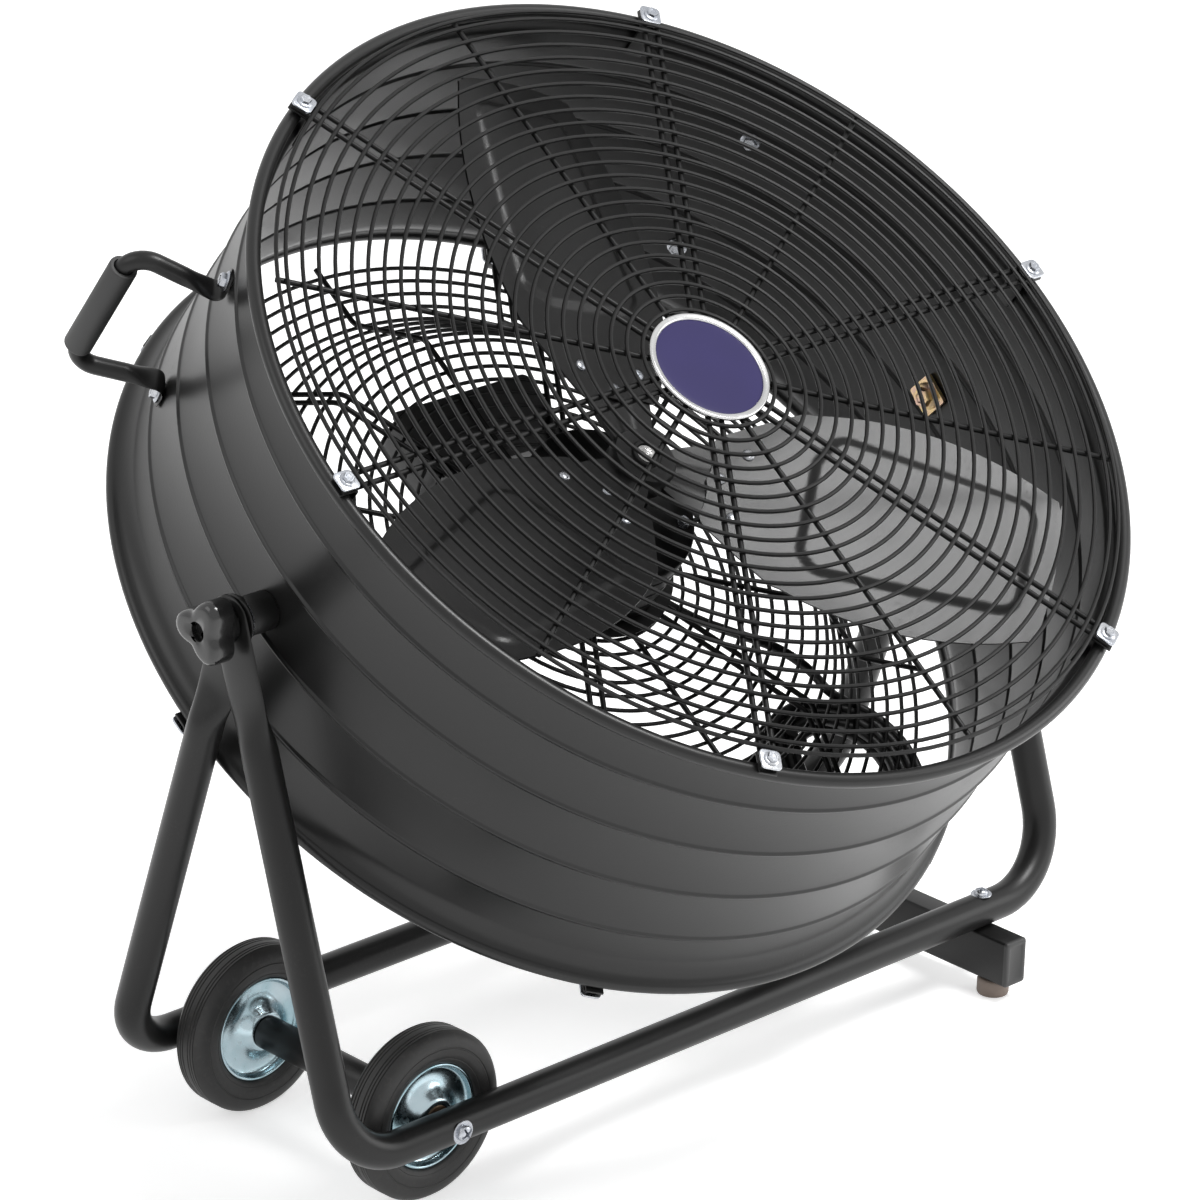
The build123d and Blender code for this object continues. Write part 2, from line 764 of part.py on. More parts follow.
# folded ears on the drum, plates that clamp the spokes on them, and their screws
for name, ear_at, outward in (("front", front_ear_at, 1), ("rear", rear_ear_at, -1)):
    with BuildPart() as ears:
        for number in range(6):
            profile = section_plane(60 * number)
            profile.origin = profile.origin - around(60 * number) * (ear_width / 2)
            face = ear_at + outward * ear_sheet
            with BuildSketch(Plane(origin=profile.origin, x_dir=profile.x_dir, z_dir=profile.z_dir)):
                with BuildLine():
                    Polyline(
                        (ear_outer - ear_sheet, ear_at - outward * ear_depth),
                        (ear_outer, ear_at - outward * ear_depth),
                        (ear_outer, ear_at),
                        (ear_end, ear_at),
                        (ear_end, face),
                        (ear_outer - ear_sheet, face),
                        close=True,
                    )
                make_face()
            extrude(amount=-ear_width)
    save(ears, f"{name}_ears")

    clip_base = face + outward * (2 * seat + spoke_wire + front_rise * clip_size / spoke_outer)
    with BuildPart() as clips:
        for number in range(6):
            with BuildSketch(face_plane(clip_base, clip_at, 60 * number)):
                Rectangle(clip_size, clip_size)
            extrude(amount=outward * clip_plate)
    save(clips, f"{name}_clips")

    with BuildPart() as screws:
        for number in range(6):
            with BuildSketch(face_plane(clip_base + outward * clip_plate, clip_at, 60 * number)):
                RegularPolygon(screw_across / 2, 6, major_radius=False)
            extrude(amount=outward * screw_across / 2)
    save(screws, f"{name}_clip_screws")

# round badge with its bezel, on the front spokes
badge_back = front_seat(spoke_inner) + seat
with BuildPart() as badge_bezel:
    with BuildSketch(face_plane(badge_back)):
        rod(badge_radius)
        bore(badge_radius - bezel_width)
    extrude(amount=badge_depth)
save(badge_bezel, "badge_bezel")

with BuildPart() as badge_disc:
    with BuildSketch(face_plane(badge_back)):
        rod(badge_radius - bezel_width - seat)
    extrude(amount=badge_depth * 0.7)
save(badge_disc, "badge_disc")

# ======== motor ========
plate_back = rear_centre_at + spoke_half + seat
motor_back = plate_back + plate_sheet + seat
motor_front = motor_back + motor_length
bell_front = motor_front + bell_length
boss_front = bell_front + boss_length
shaft_back = boss_front - 2 * shaft_radius

with BuildPart() as motor_plate:
    with BuildSketch(face_plane(plate_back)):
        rod(plate_radius)
    extrude(amount=plate_sheet)
save(motor_plate, "motor_plate")

with BuildPart() as motor_housing:
    with BuildSketch(face_plane(motor_back)):
        rod(motor_radius)
    extrude(amount=motor_length)
    with BuildSketch(face_plane(motor_front)):
        rod(motor_radius)
    extrude(amount=bell_length, taper=bell_slope)
    with BuildSketch(face_plane(bell_front)):
        rod(boss_radius)
    extrude(amount=boss_length)
    with BuildSketch(face_plane(shaft_back - turning_gap)):
        rod(shaft_radius + 6 * running)
    extrude(amount=2 * boss_length + shaft_radius, mode=Mode.SUBTRACT)
save(motor_housing, "motor_housing")

# ======== switch box, behind the rear guard's flat centre ========
box_back = rear_centre_at - spoke_half - 1.5 * ring_section - 2 * seat
cover_back = box_back - box_wall - seat


def box_plane(axial, x=0.0, u=0.0):
    """A plane on the switch box facing rearwards, x along the tilt axis."""
    origin = on_drum(axial) + side_dir * x + up_dir * (box_at_u + u)
    return Plane(origin=origin, x_dir=side_dir, z_dir=drum_dir * -1)


with BuildPart() as switch_box_base:
    with BuildSketch(box_plane(box_back)):
        RectangleRounded(box_length, box_width, 6)
    extrude(amount=box_wall)
save(switch_box_base, "switch_box_base")

with BuildPart() as switch_box_cover:
    with BuildSketch(box_plane(cover_back)):
        Rectangle(box_length - 2 * box_wall, box_width - 2 * box_wall)
    extrude(amount=box_depth - box_wall)
    with BuildSketch(box_plane(cover_back)):
        Rectangle(box_length - 4 * box_wall, box_width - 4 * box_wall)
    extrude(amount=box_depth - 2 * box_wall, mode=Mode.SUBTRACT)
    with BuildSketch(box_plane(cover_back, -box_length / 4)):
        with GridLocations(0, box_width / (louvre_count + 2), 1, louvre_count):
            Rectangle(box_length / 3, box_wall)
    extrude(amount=box_depth, mode=Mode.SUBTRACT)
    with BuildSketch(box_plane(cover_back, box_length / 4)):
        rod(speed_knob_radius / 5 + 4 * running)
    extrude(amount=box_depth, mode=Mode.SUBTRACT)
save(switch_box_cover, "switch_box_cover")

knob_back = cover_back - (box_depth - box_wall) - turning_gap
with BuildPart() as speed_knob:
    with BuildSketch(box_plane(knob_back, box_length / 4)):
        RegularPolygon(speed_knob_radius, 12)
    extrude(amount=speed_knob_depth / 3)
    with BuildSketch(box_plane(knob_back, box_length / 4)):
        RegularPolygon(speed_knob_radius * 0.8, 12)
        with Locations((0, speed_knob_radius * 0.6)):
            Rectangle(speed_knob_radius / 3, speed_knob_radius * 0.6)
    extrude(amount=speed_knob_depth)
    with BuildSketch(box_plane(knob_back, box_length / 4)):
        rod(speed_knob_radius / 5)
    extrude(amount=-4 * box_wall)
save(speed_knob, "speed_knob")

# ======== fan ========
loft_from = 10.0
loft_to = blade_tip + 4
rivet_places = ((55.0, 3.0), (73.0, -20.0), (76.0, 21.0))  # (rho, degrees from the centre line)


def blade_angle(rho):
    return radians(blade_pitch + blade_twist * (rho - pitch_radius) / rim_radius)


def blade_plane(phi, rho):
    """A plane square to the radius on the blade's centre line: x along the chord, y out of its front."""
    chord = around(phi) * cos(blade_angle(rho)) + drum_dir * sin(blade_angle(rho))
    axial = blade_mid_at + blade_lean * (rho - pitch_radius)
    return Plane(origin=on_drum(axial, rho, phi), x_dir=chord, z_dir=radial(phi))


def chord_share(rho):
    return 1 - chord_taper * (rho - pitch_radius) / rim_radius


def sheet(phi, low, high):
    """The blade's swept and twisted sheet between two heights, before it is cut to its outline."""
    with BuildPart() as slab:
        for rho in (loft_from, loft_to):
            with BuildSketch(blade_plane(phi, rho)):
                with Locations(((chord_front - chord_rear) / 2 * chord_share(rho), (low + high) / 2)):
                    Rectangle((chord_front + chord_rear) * chord_share(rho), high - low)
        loft()
    return slab.part


def cut_to(slab, phi, outline, round_by, tip):
    """The slab kept inside an outline drawn in the drum's face, x outwards."""
    with BuildPart() as kept:
        add(slab)
        with BuildSketch(face_plane(-rim_radius / 3, 0, phi)) as planform:
            with BuildLine():
                Polyline(*outline, close=True)
            make_face()
            if tip:
                Circle(tip, mode=Mode.INTERSECT)
            if round_by:
                fillet(planform.vertices(), radius=round_by)
        extrude(amount=rim_radius, mode=Mode.INTERSECT)
    return kept.part


def planform_outline(inset_rear, inset_front, root, root_half, shoulder, tip):
    """Corner points of a blade outline, inset from the edges."""
    near, far = chord_share(shoulder), chord_share(tip)
    flatten = cos(blade_angle(pitch_radius))
    return [
        (root, -root_half),
        (shoulder, (-chord_rear * near + inset_rear) * flatten),
        (tip, (-chord_rear * far + inset_rear) * flatten),
        (tip, (chord_front * far - inset_front) * flatten),
        (shoulder, (chord_front * near - inset_front) * flatten),
        (root, root_half),
    ]


half_sheet = blade_sheet / 2
blade_outline = planform_outline(1.0, 1.0, blade_root, root_half_width, full_chord_at, blade_tip + 2)
panel_tip = blade_tip - emboss_tip_margin
panel_outline = planform_outline(
    emboss_rear_margin, emboss_front_margin, emboss_root_at, root_half_width, emboss_root_at + 10, panel_tip
)
pressed = blade_sheet + 0.4
recess_outline = planform_outline(
    emboss_rear_margin + pressed,
    emboss_front_margin + pressed,
    emboss_root_at + pressed,
    root_half_width - pressed,
    emboss_root_at + 10 + pressed,
    panel_tip - pressed,
)
arm_outline = [
    (loft_from + 4, -14),
    (arm_end, -root_half_width + 6),
    (arm_end, root_half_width - 6),
    (loft_from + 4, 14),
]

arms = []
for number in range(blade_count):
    phi = blade_first + 360 / blade_count * number
    panel = cut_to(sheet(phi, half_sheet - 0.2, half_sheet + emboss_rise), phi, panel_outline, 9, None)
    recess_low = -half_sheet - 1
    recess = cut_to(sheet(phi, recess_low, emboss_rise - half_sheet), phi, recess_outline, 8, None)
    skin = cut_to(sheet(phi, -half_sheet, half_sheet), phi, blade_outline, 12, blade_tip)
    with BuildPart() as blade:
        add(skin)
        add(panel)
        add(recess, mode=Mode.SUBTRACT)
    save(blade, f"blade_{number + 1}")
    arm_top = -half_sheet - seat
    arms.append(cut_to(sheet(phi, arm_top - arm_sheet, arm_top), phi, arm_outline, 0, None))

with BuildPart() as fan_spider:
    with BuildSketch(face_plane(hub_rear_at)):
        rod(hub_radius)
    extrude(amount=hub_face_at - hub_rear_at)
    add(arms)
    with BuildSketch(face_plane(hub_face_at)):
        rod(nose_radius)
    extrude(amount=nose_at - hub_face_at)
    with BuildSketch(face_plane(0)):
        rod(shaft_radius + seat)
    extrude(amount=2 * nose_at, mode=Mode.SUBTRACT)
save(fan_spider, "fan_spider")

with BuildPart() as fan_shaft:
    with BuildSketch(face_plane(shaft_back)):
        rod(shaft_radius)
    extrude(amount=nose_at - 1 - shaft_back)
save(fan_shaft, "fan_shaft")

with BuildPart() as blade_rivets:
    for number in range(blade_count):
        phi = blade_first + 360 / blade_count * number
        for rho, off in rivet_places:
            centre = blade_plane(phi, rho * cos(radians(off)))
            along = rho * sin(radians(off)) / cos(blade_angle(rho))
            rise = half_sheet / cos(blade_lean) + 4 * seat
            outward = (centre.y_dir - radial(phi) * blade_lean).normalized()
            spot = centre.origin + centre.x_dir * along + centre.y_dir * rise
            with BuildSketch(Plane(origin=spot, x_dir=centre.x_dir, z_dir=outward)):
                RegularPolygon(rivet_radius, 8)
            extrude(amount=rivet_height, taper=25)
save(blade_rivets, "blade_rivets")
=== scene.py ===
import json
from math import cos, degrees, hypot, pi, radians, sin, sqrt, tan, tau

import bmesh
import bpy
import numpy as np
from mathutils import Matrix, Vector


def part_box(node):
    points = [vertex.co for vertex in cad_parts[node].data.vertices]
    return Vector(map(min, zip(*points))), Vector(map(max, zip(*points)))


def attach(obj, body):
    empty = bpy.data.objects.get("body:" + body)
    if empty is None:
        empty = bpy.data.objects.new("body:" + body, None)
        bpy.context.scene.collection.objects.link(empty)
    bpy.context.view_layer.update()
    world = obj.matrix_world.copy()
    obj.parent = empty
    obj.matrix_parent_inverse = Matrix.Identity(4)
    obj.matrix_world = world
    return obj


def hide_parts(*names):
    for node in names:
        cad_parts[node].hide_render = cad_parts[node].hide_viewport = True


# A drum fan on a wheeled tube stand. Metres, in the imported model's frame: Z up, X along the tilt axis.
# Drum pieces are placed by (axial, rho, phi), as in the CAD: distance along the drum's axis from the pivot,
# distance from that axis, and angle in degrees round it from +X.

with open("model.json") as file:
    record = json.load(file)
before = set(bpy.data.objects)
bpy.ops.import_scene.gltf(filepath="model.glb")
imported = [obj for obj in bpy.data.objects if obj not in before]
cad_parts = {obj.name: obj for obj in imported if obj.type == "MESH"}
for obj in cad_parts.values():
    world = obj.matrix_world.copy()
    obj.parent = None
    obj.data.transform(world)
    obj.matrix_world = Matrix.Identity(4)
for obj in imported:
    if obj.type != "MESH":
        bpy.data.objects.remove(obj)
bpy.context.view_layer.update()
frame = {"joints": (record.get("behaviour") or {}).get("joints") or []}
joints = {joint["name"]: joint for joint in frame["joints"]}

pivot = Vector(joints["drum_tilt"]["pos_m"])
drum_dir = Vector(joints["fan_spin"]["axis"]).normalized()
side_dir, back_dir, high_dir = Vector((1, 0, 0)), Vector((0, 1, 0)), Vector((0, 0, 1))
up_dir = drum_dir.cross(side_dir)

# ---- sizes ----
rim_radius = 0.330
bead_radius = 0.0055
front_bead_at = 0.131
rear_bead_at = -0.116
skin_radius = 0.3173
skin_wall = 0.0012
front_flare_at = 0.118
rear_flare_at = -0.095
rib_places = (-0.068, -0.017, 0.034, 0.085)
rib_half_width = 0.003
rib_rise = 0.0014

ring_wire = 0.0015
spoke_wire = 0.002
pair_gap = 0.010
ring_pitch = 0.0117
ring_inner = 0.0493
ring_outer = 0.3135
spoke_inner = 0.040
clip_at = 0.3232
clip_size = 0.015
clip_plate = 0.0018
front_spokes_at = 0.1402
front_rise = 0.002
rear_spokes_at = -0.1252
rear_flat_at = -0.117
rear_cone_outer = 0.250
rear_cone_inner = 0.195
rear_centre_at = -0.066
rear_drop_from = 0.310
rear_drop_to = 0.302

blade_count = 3
blade_first = -43.3
blade_tip = 0.296
blade_sheet = 0.0016
blade_pitch = 14.1
blade_twist = 7.0
blade_lean = 0.15
blade_mid_at = 0.070
pitch_radius = 0.198
emboss_rise = 0.0022

tube_radius = 0.0125
leg_x = 0.3464
run_y = 0.116
run_height = 0.061
eye_width = 0.018
eye_thick = 0.0022

fit_gap = 0.00005  # between faces that lie on each other
bead_centre = rim_radius - bead_radius


# ---- shader trees ----
class Value:
    """One output in a node tree. Arithmetic adds nodes."""

    def __init__(self, tree, socket):
        self.tree = tree
        self.socket = socket

    def __add__(self, other):
        return self.tree.maths("ADD", self, other)

    __radd__ = __add__

    def __mul__(self, other):
        return self.tree.maths("MULTIPLY", self, other)

    __rmul__ = __mul__

    def __sub__(self, other):
        return self.tree.maths("SUBTRACT", self, other)

    def __rsub__(self, other):
        return self.tree.maths("SUBTRACT", other, self)


class Tree:
    """A node tree that is being made."""

    def __init__(self, tree):
        self.nodes = tree.nodes
        self.links = tree.links

    def node(self, kind, inputs, output=0, **settings):
        made = self.nodes.new("ShaderNode" + kind)
        for name, value in settings.items():
            setattr(made, name, value)
        for name, value in inputs.items():
            if isinstance(value, Value):
                self.links.new(value.socket, made.inputs[name])
            else:
                made.inputs[name].default_value = value
        return Value(self, made.outputs[output])

    def maths(self, operation, *values):
        return self.node("Math", dict(enumerate(values)), operation=operation)

    def any_ray(self, *kinds):
        """1 for rays of the kinds, such as Camera, and 0 for others."""
        first, *others = [self.node("LightPath", {}, output=f"Is {kind} Ray") for kind in kinds]
        for other in others:
            first = self.maths("MAXIMUM", first, other)
        return first


finishes = {}  # by name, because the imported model's own plain materials have some of the same names


class Finish(Tree):
    """A material that is being made, from its shader's fixed values."""

    def __init__(self, name, fixed):
        finishes[name] = bpy.data.materials.new(name)
        finishes[name].use_nodes = True
        super().__init__(finishes[name].node_tree)
        self.shader = self.nodes["Principled BSDF"]
        for socket, value in fixed.items():
            self.shader.inputs[socket].default_value = value
        self.place = self.node("TexCoord", {}, output="Object")

    def noise(self, size, detail=2.0, stretch=None):
        """Clouds from 0 to 1, their patches about size metres across."""
        place = self.place
        if stretch:
            place = self.node("Mapping", {"Vector": place, "Scale": stretch})
        return self.node("TexNoise", {"Vector": place, "Scale": 1 / size, "Detail": detail})

    def band(self, value, low, high):
        """0 below low and 1 above high, with a soft step between."""
        ranges = {"Value": value, "From Min": low, "From Max": high}
        return self.node("MapRange", ranges, interpolation_type="SMOOTHSTEP")

    def mix(self, share, first, second):
        return self.node("Mix", {0: share, 6: first, 7: second}, output=2, data_type="RGBA")

    def feed(self, **values):
        """Links values into the shader: base_color to Base Color, and so on."""
        for name, value in values.items():
            self.links.new(value.socket, self.shader.inputs[name.replace("_", " ").title()])

    def bump(self, height, distance):
        self.feed(normal=self.node("Bump", {"Height": height, "Distance": distance, "Strength": 1.0}))


def grey(level, warm=0.0):
    return (level * (1 + warm), level, level * (1 - warm), 1.0)


def coated_paint(name, level, roughness, peel, shine=0.36):
    """Paint on metal: faint mottling, orange peel and patches of dust."""
    finish = Finish(name, {"Specular IOR Level": shine})
    cloud = finish.noise(0.09, 3.0)
    speck = finish.noise(0.0022, 2.0)
    dust = finish.band(finish.noise(0.03, 5.0), 0.45, 0.8) * finish.band(speck, 0.5, 0.75)
    base = finish.mix(cloud, grey(level * 0.9), grey(level * 1.12, 0.01))
    finish.feed(base_color=finish.mix(dust * 0.03, base, grey(0.3, 0.03)))
    finish.feed(roughness=roughness + (cloud - 0.5) * 0.08 + dust * 0.1)
    finish.bump(finish.noise(0.0016, 1.0) * 0.7 + speck * 0.3, peel)


def plated(name, colour, tint, roughness, scratch=None, spread=0.02):
    """Plated metal: patches of tint, water marks and fine draw lines."""
    finish = Finish(name, {"Metallic": 1.0})
    patch = finish.band(finish.noise(spread, 4.0), 0.3, 0.7)
    lines = finish.noise(0.0009, 2.0, scratch)
    marks = finish.band(finish.noise(spread / 4, 3.0), 0.55, 0.75)
    finish.feed(base_color=finish.mix(marks * 0.25, finish.mix(patch, colour, tint), grey(0.42)))
    finish.feed(roughness=roughness + (lines - 0.5) * 0.16 + marks * 0.14)
    finish.bump(lines, 0.00003)


def moulded(name, colour, roughness, grain, depth, coat=0.0):
    """Plastic or rubber with a fine grain and slight flow marks."""
    finish = Finish(name, {"Coat Weight": coat, "Coat Roughness": 0.08})
    flow = finish.noise(0.02, 3.0, (1.0, 1.0, 0.4))
    fine = finish.noise(grain, 2.0)
    lighter = (*(1.35 * channel for channel in colour[:3]), 1.0)
    finish.feed(base_color=finish.mix(flow * 0.6 + fine * 0.3, colour, lighter))
    finish.feed(roughness=roughness + (flow - 0.5) * 0.1 + (fine - 0.5) * 0.08)
    finish.bump(fine, depth)


coated_paint("drum_paint", 0.010, 0.33, 0.00004)
coated_paint("stand_paint", 0.010, 0.34, 0.00003, 0.3)
coated_paint("wire_paint", 0.008, 0.38, 0.00003, 0.2)
coated_paint("blade_paint", 0.012, 0.30, 0.00003, 0.32)
coated_paint("hub_paint", 0.016, 0.38, 0.00004)
coated_paint("motor_paint", 0.009, 0.42, 0.00005, 0.3)
plated("zinc", (0.52, 0.53, 0.55, 1.0), (0.38, 0.40, 0.44, 1.0), 0.27)
plated("rim_zinc", (0.44, 0.53, 0.57, 1.0), (0.28, 0.43, 0.48, 1.0), 0.22, spread=0.03)
plated("yellow_zinc", (0.70, 0.55, 0.22, 1.0), (0.62, 0.42, 0.34, 1.0), 0.3, spread=0.012)
plated("shaft_steel", grey(0.62), grey(0.5, 0.02), 0.25, (1.0, 1.0, 8.0))
plated("bezel_silver", grey(0.60), grey(0.46), 0.24, (1.0, 1.0, 6.0), spread=0.05)
plated("bush_bronze", (0.30, 0.19, 0.11, 1.0), (0.16, 0.11, 0.08, 1.0), 0.4, spread=0.006)
moulded("knob_gloss", grey(0.010), 0.18, 0.004, 0.00002, coat=0.25)
moulded("box_plastic", grey(0.020), 0.5, 0.0008, 0.00006)
moulded("cap_plastic", grey(0.022), 0.42, 0.001, 0.00004)
moulded("grip_rubber", grey(0.030), 0.55, 0.0012, 0.00005)
moulded("foot_rubber", (0.200, 0.158, 0.132, 1.0), 0.6, 0.0015, 0.00008)
moulded("cord_jacket", grey(0.011), 0.42, 0.0009, 0.00003)

# black rubber with a fine grain and dusty patches
finish = Finish("tyre_rubber", {"Specular IOR Level": 0.4})
cloud = finish.noise(0.012, 4.0)
scuff = finish.band(finish.noise(0.004, 4.0), 0.52, 0.72)
base = finish.mix(cloud, grey(0.016), grey(0.032, 0.02))
finish.feed(base_color=finish.mix(scuff * 0.3, base, grey(0.07, 0.04)))
finish.feed(roughness=0.5 + (cloud - 0.5) * 0.15 + scuff * 0.12)
finish.bump(finish.noise(0.0007, 2.0), 0.00006)

# a smooth gloss face, its colour deeper towards one side
finish = Finish("badge_blue", {"Specular IOR Level": 0.3, "Roughness": 0.25})
depth = finish.noise(0.05, 1.0)
finish.feed(base_color=finish.mix(depth, (0.018, 0.014, 0.070, 1.0), (0.026, 0.020, 0.100, 1.0)))
finish.bump(finish.noise(0.0005, 1.0), 0.000004)

# a pale floor, white to the camera and in reflections, that still takes a shadow
floor_lift = 0.56  # what it gives of itself to them
finish = Finish("floor_white", {"Roughness": 0.9, "Specular IOR Level": 0.1, "Emission Strength": 1.0})
shown = finish.any_ray("Camera", "Glossy")
finish.feed(base_color=finish.mix(finish.noise(0.8, 2.0), grey(0.90), grey(0.92)))
finish.feed(emission_color=finish.mix(shown, grey(0.0), grey(floor_lift)))


# ---- places ----
def radial(phi):
    return side_dir * cos(radians(phi)) + up_dir * sin(radians(phi))


def around(phi):
    return up_dir * cos(radians(phi)) - side_dir * sin(radians(phi))


def on_drum(axial, rho=0.0, phi=0.0):
    return pivot + drum_dir * axial + radial(phi) * rho


def across_drum(x, u, axial):
    """A place along the tilt axis, across it and along the drum's axis."""
    return on_drum(axial) + side_dir * x + up_dir * u


# ---- flat figures: lists of pairs ----
def smooth(share):
    """Eases a share: 0 up to 0, 1 from 1 on, and a round step between."""
    share = np.clip(share, 0.0, 1.0)
    return share * share * (3 - 2 * share)


def scaled(pairs, scale, base=0.0):
    return [(size * scale, base + height * scale) for size, height in pairs]


def mm(base, *pairs):
    """(size, height) pairs in millimetres, the heights counted from base, in metres."""
    return scaled(pairs, 0.001, base)


def arc(centre, radius, start, end, count):
    """Points on an arc in a plane, angles in degrees."""
    angles = [radians(start + (end - start) / (count - 1) * n) for n in range(count)]
    return [(centre[0] + radius * cos(angle), centre[1] + radius * sin(angle)) for angle in angles]


def waved(reach_at, count):
    """A closed outline whose distance from its middle follows the angle."""
    angles = [tau * n / count for n in range(count)]
    return [(reach_at(angle) * cos(angle), reach_at(angle) * sin(angle)) for angle in angles]


def circle(radius, count):
    return waved(lambda angle: radius, count)


def rounded_box(half_x, half_y, radius, steps=6):
    """Outline of a rectangle with round corners."""
    outline = []
    for turn, x, y in ((0, 1, 1), (90, -1, 1), (180, -1, -1), (270, 1, -1)):
        outline += arc((x * (half_x - radius), y * (half_y - radius)), radius, turn, turn + 90, steps)
    return outline


def collar(inner, outer, low, high, edge, rise):
    """A ring's profile, its outer corners cut by edge in radius and rise along the axis."""
    face = outer - edge
    return [(inner, low), (face, low), (outer, low + rise), (outer, high - rise), (face, high), (inner, high)]


# ---- shapes: each is a pair of points and faces ----
def stacked(outline_at, steps, origin, x_dir, y_dir, lift_dir):
    """Closed rows of points: for each (size, height), that size's outline at that height."""
    return [
        [origin + x_dir * x + y_dir * y + lift_dir * height for x, y in outline_at(size)]
        for size, height in steps
    ]


def grid(rows, closed_rows=False):
    """Quads between closed rows of points. The last row may meet the first."""
    width = len(rows[0])
    faces = []
    for row in range(len(rows) - (0 if closed_rows else 1)):
        here, after = row * width, (row + 1) % len(rows) * width
        for column in range(width):
            beside = (column + 1) % width
            faces.append((here + column, here + beside, after + beside, after + column))
    return [point for row in rows for point in row], faces


def capped(rows):
    """A grid of closed rows with its first and last rows filled."""
    points, faces = grid(rows)
    width = len(rows[0])
    ends = [tuple(reversed(range(width))), tuple(range(len(points) - width, len(points)))]
    return points, faces + ends


def turned(profile, centre, axis, across, count):
    """A profile of (radius, along the axis) turned about the axis, of a ring or from radius 0 to 0."""
    outline_at = lambda radius: circle(radius, count)
    rows = stacked(outline_at, profile, centre, across, axis.cross(across), axis)
    return grid(rows, closed_rows=profile[0][0] > 0)


def on_axis(profile, count):
    """A profile turned about the drum's own axis."""
    return turned(profile, pivot, drum_dir, side_dir, count)


def standing(profile, origin, normal):
    """A profile turned about the normal of the face that it stands on."""
    return turned(profile, origin, normal, normal.orthogonal().normalized(), 32)


def bent(points, radii, steps=8):
    """A route through points with each inner corner rounded to its own radius."""
    route = [points[0]]
    for number, radius in enumerate(radii):
        before, corner, after = points[number : number + 3]
        back, ahead = (before - corner).normalized(), (after - corner).normalized()
        half = back.angle(ahead) / 2
        centre = corner + (back + ahead).normalized() * (radius / sin(half))
        start, end = corner + back * (radius / tan(half)), corner + ahead * (radius / tan(half))
        route.append(start)
        for step in range(1, steps):
            spoke = (start - centre).slerp(end - centre, step / steps)
            route.append(centre + spoke.normalized() * radius)
        route.append(end)
    return route + [points[-1]]


def even(route, pitch):
    """The same route with points no further apart than pitch."""
    result = [route[0]]
    for start, end in zip(route, route[1:]):
        count = max(1, round((end - start).length / pitch))
        result += [start.lerp(end, (n + 1) / count) for n in range(count)]
    return result


def swept(route, across, size, section):
    """A bar along a flat route, whose plane is square to across. size gives half sizes at a place."""
    lengths = [0.0]
    for start, end in zip(route, route[1:]):
        lengths.append(lengths[-1] + (end - start).length)
    rows = []
    for number, point in enumerate(route):
        before, after = route[max(number - 1, 0)], route[min(number + 1, len(route) - 1)]
        normal = across.cross((after - before).normalized())
        half_across, half_normal = size(lengths[number], lengths[-1])
        rows.append([point + across * (half_across * u) + normal * (half_normal * v) for u, v in section])
    return capped(rows)


def steady(half_across, half_normal):
    return lambda along, length: (half_across, half_normal)


def block(outline, origin, x_dir, y_dir, depth):
    """A flat outline in its own plane, given depth along the plane's normal."""
    steps = ((outline, 0.0), (outline, depth))
    return capped(stacked(list, steps, origin, x_dir, y_dir, x_dir.cross(y_dir)))


def added(name, data):
    """A new object in the scene."""
    made = bpy.data.objects.new(name, data)
    bpy.context.scene.collection.objects.link(made)
    return made


def make(name, shapes, finish, body, stands_for="", bevel=0.0, sharp=38.0):
    """One piece of the visual model, from shapes that may stand apart."""
    mesh = bpy.data.meshes.new(name)
    points, faces = [], []
    for shape_points, shape_faces in shapes:
        start = len(points)
        points += [tuple(point) for point in shape_points]
        faces += [tuple(start + corner for corner in face) for face in shape_faces]
    mesh.from_pydata(points, [], faces)
    shell = bmesh.new()
    shell.from_mesh(mesh)
    bmesh.ops.remove_doubles(shell, verts=shell.verts, dist=0.000002)
    bmesh.ops.recalc_face_normals(shell, faces=shell.faces)
    if bevel:
        edges = [edge for edge in shell.edges if edge.is_manifold and edge.calc_face_angle(0) > radians(30)]
        bmesh.ops.bevel(shell, geom=edges, offset=bevel, segments=3, profile=0.5, affect="EDGES")
    shell.to_mesh(mesh)
    shell.free()
    mesh.shade_smooth()
    mesh.set_sharp_from_angle(angle=radians(sharp))
    mesh.materials.append(finishes[finish])
    piece = added(name, mesh)
    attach(piece, body)
    if stands_for:
        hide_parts(stands_for)
    return piece


# ---- small fasteners, each standing on a face ----
def hex_flange_screw(origin, normal, across_flats, x_dir):
    """A hexagon head on a round flange, with a shallow dish in its top."""
    head = across_flats / sqrt(3)
    flange = [(0, 0), (1.32, 0), (1.35, 0.12), (1.1, 0.3), (0, 0.34)]
    steps = ((1.0, 0.1), (1.0, 0.82), (0.9, 0.95), (0.62, 0.95), (0.5, 0.84), (0.0, 0.82))
    sized = scaled(steps, head)
    rows = stacked(lambda size: circle(size, 6), sized, origin, x_dir, normal.cross(x_dir), normal)
    return [standing(scaled(flange, head), origin, normal), grid(rows)]


